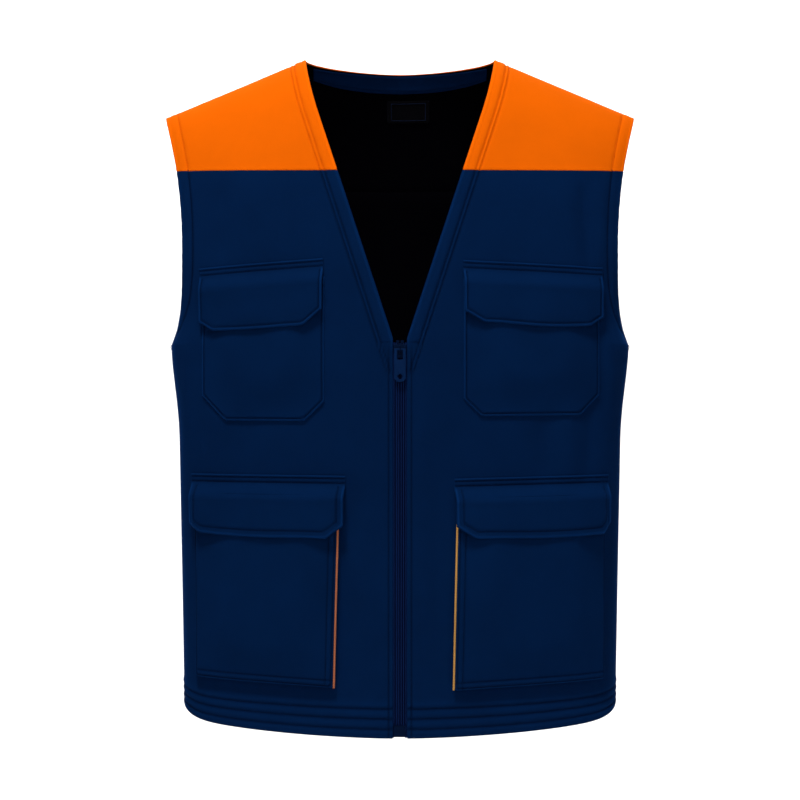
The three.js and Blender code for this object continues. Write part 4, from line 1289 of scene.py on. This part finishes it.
def build_pockets():
    for name, p in POCKETS.items():
        pocket = Pocket(p)
        body = f"{name.split('_')[0]}_front"
        build_bag(name, pocket, body)
        build_flap(name, pocket)
        build_patches(name, pocket, body, f"{name}_flap")
        if "cargo" in name:
            build_piping(name, pocket, body)


# ---- Zip and the inside of the neck ----

COIL_BOTTOM = 12.7
COIL_TOP = 408.6
COIL_OUTER = 2.5
RIB_PITCH = 2.5
TAPE_EDGE = 20.0
TAPE_BOTTOM = 0.8
BOX_TOP = 12.6
TAPE_TOP = 409.0
BOX_HALF_WIDTH = {"left": 5.9, "right": 6.7}
COIL_PITCH = 1.5
SLIDER_BOTTOM = 393.5
SLIDER_TOP = 408.0
SLIDER_PLATES = ((-1.35, 0.2), (3.3, 4.8))
POST_DEPTHS = (-0.4, 3.9)
PULL_DEPTHS = (-3.65, -2.35)
PULL_PIVOT = 402.5
PULL_LENGTH = 34.0
PULL_HALF_WIDTH = 6.0
BINDING_REACH = 26.0
BINDING_INSET = 6.4
BINDING_CURL = 2.0
BINDING_THICKNESS = 0.8


def rib_shading(x):
    """The zip's ribs run up and down it, with painted highlights along their crests and painted shade between
    them.
    """
    crest = (0.5 + 0.5 * np.cos(2 * math.pi * (x / RIB_PITCH - 0.5))) ** 2
    return (2 * crest - 1) * (1 - smoothstep(x, 7.2, 7.9))


def build_zip_side(side_name):
    side = SIDES[side_name]
    body = f"{side_name}_front"
    x = np.linspace(0.08, COIL_OUTER, 15)
    z = np.arange(COIL_BOTTOM, COIL_TOP, 0.375)
    x, z = np.meshgrid(x, z)
    phase = 0 if side > 0 else math.pi
    tooth = np.sin(2 * math.pi * z / COIL_PITCH + phase)
    round_edge = np.sqrt(np.clip(1 - ((x - 1.27) / 1.26) ** 2, 0, 1))
    stand = 0.4 + 1.1 * round_edge + 0.22 * tooth * smoothstep(x, 2.3, 1.8)
    front = np.stack([side * x, ZIP_FACE + 2.1 - stand, z], -1)
    back = np.stack([side * x, ZIP_FACE + 2.2 + 0.7 * round_edge, z], -1)
    mesh = slab_mesh(front, back, 1)
    add_piece(f"{side_name}_coil", mesh, "zip_coil", body, [f"{side_name}_zip_coil"], rib_shading(x))

    beside_box = [*np.arange(TAPE_BOTTOM, BOX_TOP, 2.0), BOX_TOP + 0.1, BOX_TOP + 0.3]
    z = np.concatenate([beside_box, np.arange(15, TAPE_TOP, 2.2)])
    share = np.concatenate([np.linspace(0, 0.32, 44), np.linspace(0.34, 1, 12)])
    share, z = np.meshgrid(share, z)
    start = np.where(z > BOX_TOP + 0.2, COIL_OUTER - 0.1, BOX_HALF_WIDTH[side_name])
    x = lerp(start, TAPE_EDGE, share)
    across = 0.5 + 0.5 * np.cos(2 * math.pi * (x / RIB_PITCH - 0.5))
    ribs = 1.25 * across**0.7 * (1 - smoothstep(x, 7.5, 7.9))
    front = np.stack([side * x, ZIP_FACE + 1.95 - ribs, z], -1)
    back = np.stack([side * x, np.full_like(x, ZIP_FACE + 2.75), z], -1)
    mesh = slab_mesh(front, back, 1)
    tape = add_piece(f"{side_name}_tape", mesh, "zip_tape", body, [f"{side_name}_zip_tape"], rib_shading(x))
    declare_sheet(front)


def rounded_outline(corners, steps=6):
    """A closed outline from corners given as (x, z, radius)."""
    outline = []
    count = len(corners)
    for k in range(count):
        x, z, radius = corners[k]
        here = np.array([x, z])
        before = np.array(corners[k - 1][:2]) - here
        after = np.array(corners[(k + 1) % count][:2]) - here
        if radius == 0:
            outline.append(here)
            continue
        before, after = unit(before), unit(after)
        half = math.acos(float(np.clip(before @ after, -1, 1))) / 2
        reach = radius / math.tan(half)
        centre = here + unit(before + after) * radius / math.sin(half)
        a = here + before * reach - centre
        b = here + after * reach - centre
        turn = math.acos(float(np.clip(unit(a) @ unit(b), -1, 1)))
        for j in range(steps + 1):
            t = j / steps
            outline.append(centre + (a * math.sin((1 - t) * turn) + b * math.sin(t * turn)) / math.sin(turn))
    return outline


def box_outline(half_width, start, end, radius):
    """A rounded rectangle from one height to another."""
    corners = ((-half_width, start), (half_width, start), (half_width, end), (-half_width, end))
    return rounded_outline([(x, z, radius) for x, z in corners])


def circle_outline(x, z, radius, steps=28):
    angles = [2 * math.pi * k / steps for k in range(steps)]
    return [np.array([x + radius * math.cos(a), z + radius * math.sin(a)]) for a in angles]


def plate_mesh(outline, depths, bevel=0.4, holes=()):
    """A flat plate with rounded edges between two depths behind the zip's face."""
    front, back = depths
    curve = bpy.data.curves.new("outline", "CURVE")
    curve.dimensions = "2D"
    curve.fill_mode = "BOTH"
    curve.extrude = (back - front) / 2 - bevel
    curve.bevel_depth = bevel
    curve.bevel_resolution = 3
    curve.offset = -bevel
    for loop in [outline, *holes]:
        spline = curve.splines.new("POLY")
        spline.points.add(len(loop) - 1)
        spline.use_cyclic_u = True
        for point, (x, z) in zip(spline.points, loop):
            point.co = (x, z, 0, 1)
    holder = bpy.data.objects.new("outline", curve)
    bpy.context.scene.collection.objects.link(holder)
    bpy.context.view_layer.update()
    mesh = bpy.data.meshes.new_from_object(holder.evaluated_get(bpy.context.evaluated_depsgraph_get()))
    bm = bmesh.new()
    bm.from_mesh(mesh)
    bmesh.ops.remove_doubles(bm, verts=bm.verts, dist=0.01)
    bmesh.ops.recalc_face_normals(bm, faces=bm.faces)
    points = np.array([v.co[:] for v in bm.verts])
    faces = [[v.index for v in f.verts] for f in bm.faces]
    bm.free()
    bpy.data.objects.remove(holder)
    bpy.data.curves.remove(curve)
    bpy.data.meshes.remove(mesh)
    middle = (front + back) / 2
    points = np.stack([points[:, 0], ZIP_FACE + middle - points[:, 2], points[:, 1]], -1)
    return points, faces


def build_slider():
    low, high = SLIDER_BOTTOM, SLIDER_TOP
    face = rounded_outline([
        (-5.2, low, 1.2), (5.2, low, 1.2), (6.8, low + 7, 2),
        (6.6, high, 2.4), (-6.6, high, 2.4), (-6.8, low + 7, 2),
    ])
    front, back = (plate_mesh(face, depths) for depths in SLIDER_PLATES)
    post = plate_mesh(box_outline(0.45, high - 6.5, high - 1, 0.1), POST_DEPTHS, 0.05)
    add_piece("slider_plates", join_meshes([front, back, post]), "zip_metal", "zip_slider", ["slider_body"])
    angle = np.linspace(0, math.pi, 25)
    arch = np.stack([
        np.zeros_like(angle), ZIP_FACE - 1.3 - 3.5 * np.sin(angle) ** 0.5, PULL_PIVOT - 3.9 * np.cos(angle),
    ], -1)
    tube = tube_mesh(arch, 0.5, reference=(1.0, 0.0, 0.0))
    add_piece("slider_arch", tube, "zip_metal", "zip_slider", ["slider_bridge"])

    top = PULL_PIVOT + 0.75
    end = PULL_PIVOT - PULL_LENGTH
    outline = rounded_outline([
        (-PULL_HALF_WIDTH, top, 0.9), (-PULL_HALF_WIDTH, end, 5.2), (PULL_HALF_WIDTH, end, 5.2),
        (PULL_HALF_WIDTH, top, 0.9),
    ], 10)
    slot = box_outline(2.9, top - 1.5, PULL_PIVOT - 10.7, 0.8)
    plate = plate_mesh(outline, PULL_DEPTHS, holes=[slot, circle_outline(0, end + 5.6, 2.6)])
    add_piece("zip_pull_tab", plate, "zip_pull", "zip_pull", ["zip_puller"])


def neck_strip(half_width, drop, tall, rows, columns, narrow=0.0, middle=0.0):
    """A strip of cloth inside the back, a drop below the neckline and narrower at its ends."""
    x = middle + np.linspace(-half_width, half_width, columns)
    lines = []
    for share in np.linspace(1, 0, rows):
        z = back_top(x) - drop - tall * (1 - narrow * (np.abs(x) / half_width) ** 3) * share
        lines.append(np.stack([x, body_y(x, z, BACK), z], -1))
    return Cloth(lines, lambda length: np.linspace(0, length, columns), BACK)


def build_neck_inside():
    """The band that faces the back neckline, and a plain label with a stitched border."""

    band = neck_strip(97, 1.0, 17.5, 12, 90, narrow=0.4)
    band.groove(np.arange(12)[:, None] * 1.6 - 4.0, 0.35, 1.0)
    cloth_piece("neck_band", band, BAND_LAYER, "navy_facing", "neck_facing", ROOT)
    face, inward = band.at(BAND_LAYER[1]), -band.normals
    lines = [(face[row, 2:-2], inward[row, 2:-2]) for row in (2, 10)]
    add_stitches("neck_band_stitches", lines, "navy_thread", ROOT)

    label = neck_strip(23.5, 27, 23, 20, 40, middle=9.5)
    cloth_piece("neck_label_cloth", label, LABEL_LAYER, "label", "neck_label", ROOT)
    border = [
        np.concatenate([grid[2, 3:-3], grid[2:-2, -4], grid[-3, -4:2:-1], grid[-3:1:-1, 3]])
        for grid in (label.at(LABEL_LAYER[1]), -label.normals)
    ]
    add_stitches("neck_label_stitches", [border], "grey_thread", ROOT, pitch=1.5, length=1.35, width=0.8)


def build_side_binding():
    """A strip behind each side seam, which closes the seam while a front swings."""
    y = np.linspace(-BINDING_REACH, BINDING_REACH, 13)
    inset = BINDING_INSET + BINDING_CURL * (y / BINDING_REACH) ** 2
    for side_name, side in SIDES.items():
        lines = []
        for height in np.arange(1.5, UNDERARM_HEIGHT - 4, 8.0):
            x = float(edge_x(height))
            lines.append(np.stack([x - inset, y, cloth_height(height, x) + 0 * y], -1))
        points = np.array(lines) * np.array([side, 1, 1])
        mesh = slab_mesh(points + np.array([side * BINDING_THICKNESS, 0, 0]), points)
        piece = add_piece(f"{side_name}_seam_binding", mesh, "navy_facing", ROOT)
        declare_sheet(points)


# ---- Light, floor and camera, in metres ----

SWEEP_FLOOR = -1.05
SWEEP_FRONT = -3.2
SWEEP_BACK = 2.2
SWEEP_TOP = 1.5
SWEEP_HALF_WIDTH = 3.2
SWEEP_BEND = 0.8
SWEEP_STEPS = 16
VEST_MIDDLE = (0, 0, -0.36)
# Each light: name, place, target, size and power.
LIGHTS = (
    ("key", (-0.4, -1.15, 2.15), VEST_MIDDLE, (0.5, 0.5), 74),
    ("fill", (0.5, -2.9, 1.4), VEST_MIDDLE, (0.9, 0.9), 18),
    ("front", (0.0, -3.6, -0.1), VEST_MIDDLE, (0.8, 0.8), 5),
    ("back", (0.0, 1.2, 1.5), (0, 2.2, -0.4), (2.6, 1.0), 55),
)
SKY_LIGHT = 0.045
SKY_SEEN = 1.0
CAMERA_PLACE = (0, -1.798, -0.404)
CAMERA_LENS = 73.9
CAMERA_SHIFT = 0.0375


def add_area_light(name, place, target, size, power):
    light = bpy.data.lights.new(name, "AREA")
    light.shape = "RECTANGLE"
    light.size, light.size_y = size
    light.energy = power
    lamp = bpy.data.objects.new(name, light)
    lamp.location = place
    lamp.rotation_euler = (Vector(target) - Vector(place)).to_track_quat("-Z", "Y").to_euler()
    bpy.context.scene.collection.objects.link(lamp)
    return lamp


def build_studio():
    """A seamless pale sweep: floor below the hem, a curve, and a wall behind."""
    profile = [(SWEEP_FRONT, SWEEP_FLOOR)]
    for k in range(SWEEP_STEPS + 1):
        angle = math.pi / 2 * k / SWEEP_STEPS
        y = SWEEP_BACK - SWEEP_BEND + SWEEP_BEND * math.sin(angle)
        profile.append((y, SWEEP_FLOOR + SWEEP_BEND - SWEEP_BEND * math.cos(angle)))
    profile.append((SWEEP_BACK, SWEEP_TOP))
    points = [(x, y, z) for y, z in profile for x in (-SWEEP_HALF_WIDTH, SWEEP_HALF_WIDTH)]
    faces = [(2 * k, 2 * k + 1, 2 * k + 3, 2 * k + 2) for k in range(len(profile) - 1)]
    mesh = bpy.data.meshes.new("sweep")
    mesh.from_pydata(points, [], faces)
    mesh.polygons.foreach_set("use_smooth", [True] * len(mesh.polygons))
    sweep = bpy.data.objects.new("sweep", mesh)
    bpy.context.scene.collection.objects.link(sweep)
    sweep.data.materials.append(paint("studio white", (0.96, 0.96, 0.96)))


def build_lights_and_camera():
    scene = bpy.context.scene
    [add_area_light(*light) for light in LIGHTS]

    sky = bpy.data.worlds.new("studio")
    sky.use_nodes = True
    background = sky.node_tree.nodes["Background"]
    background.inputs[0].default_value = (1, 1, 1, 1)
    path = sky.node_tree.nodes.new("ShaderNodeLightPath")
    strength = sky.node_tree.nodes.new("ShaderNodeMapRange")
    strength.inputs["To Min"].default_value = SKY_LIGHT
    strength.inputs["To Max"].default_value = SKY_SEEN
    sky.node_tree.links.new(path.outputs["Is Camera Ray"], strength.inputs[0])
    sky.node_tree.links.new(strength.outputs[0], background.inputs[1])
    scene.world = sky
    scene.view_settings.view_transform = "Standard"
    scene.view_settings.look = "None"
    scene.view_settings.exposure = 0.0

    camera_data = bpy.data.cameras.new("camera")
    camera = bpy.data.objects.new("camera", camera_data)
    scene.collection.objects.link(camera)
    camera.location = CAMERA_PLACE
    camera.rotation_euler = (math.pi / 2, 0, 0)
    camera_data.sensor_width = 36
    camera_data.lens = CAMERA_LENS
    camera_data.shift_y = CAMERA_SHIFT
    camera_data.clip_start = 0.05
    camera_data.clip_end = 50
    scene.camera = camera


for name in SIDES:
    build_front(name)
build_back()
build_pockets()
for name in SIDES:
    build_zip_side(name)
build_slider()
build_neck_inside()
build_side_binding()

slots = {part["node"]: part["material_slot"] for part in frame["record"]["subparts"]}
for name, node in frame["nodes"].items():
    node.data.materials.clear()
    node.data.materials.append(LOOKS["zip_metal" if name == "retainer_box" else slots[name]])

build_studio()
build_lights_and_camera()
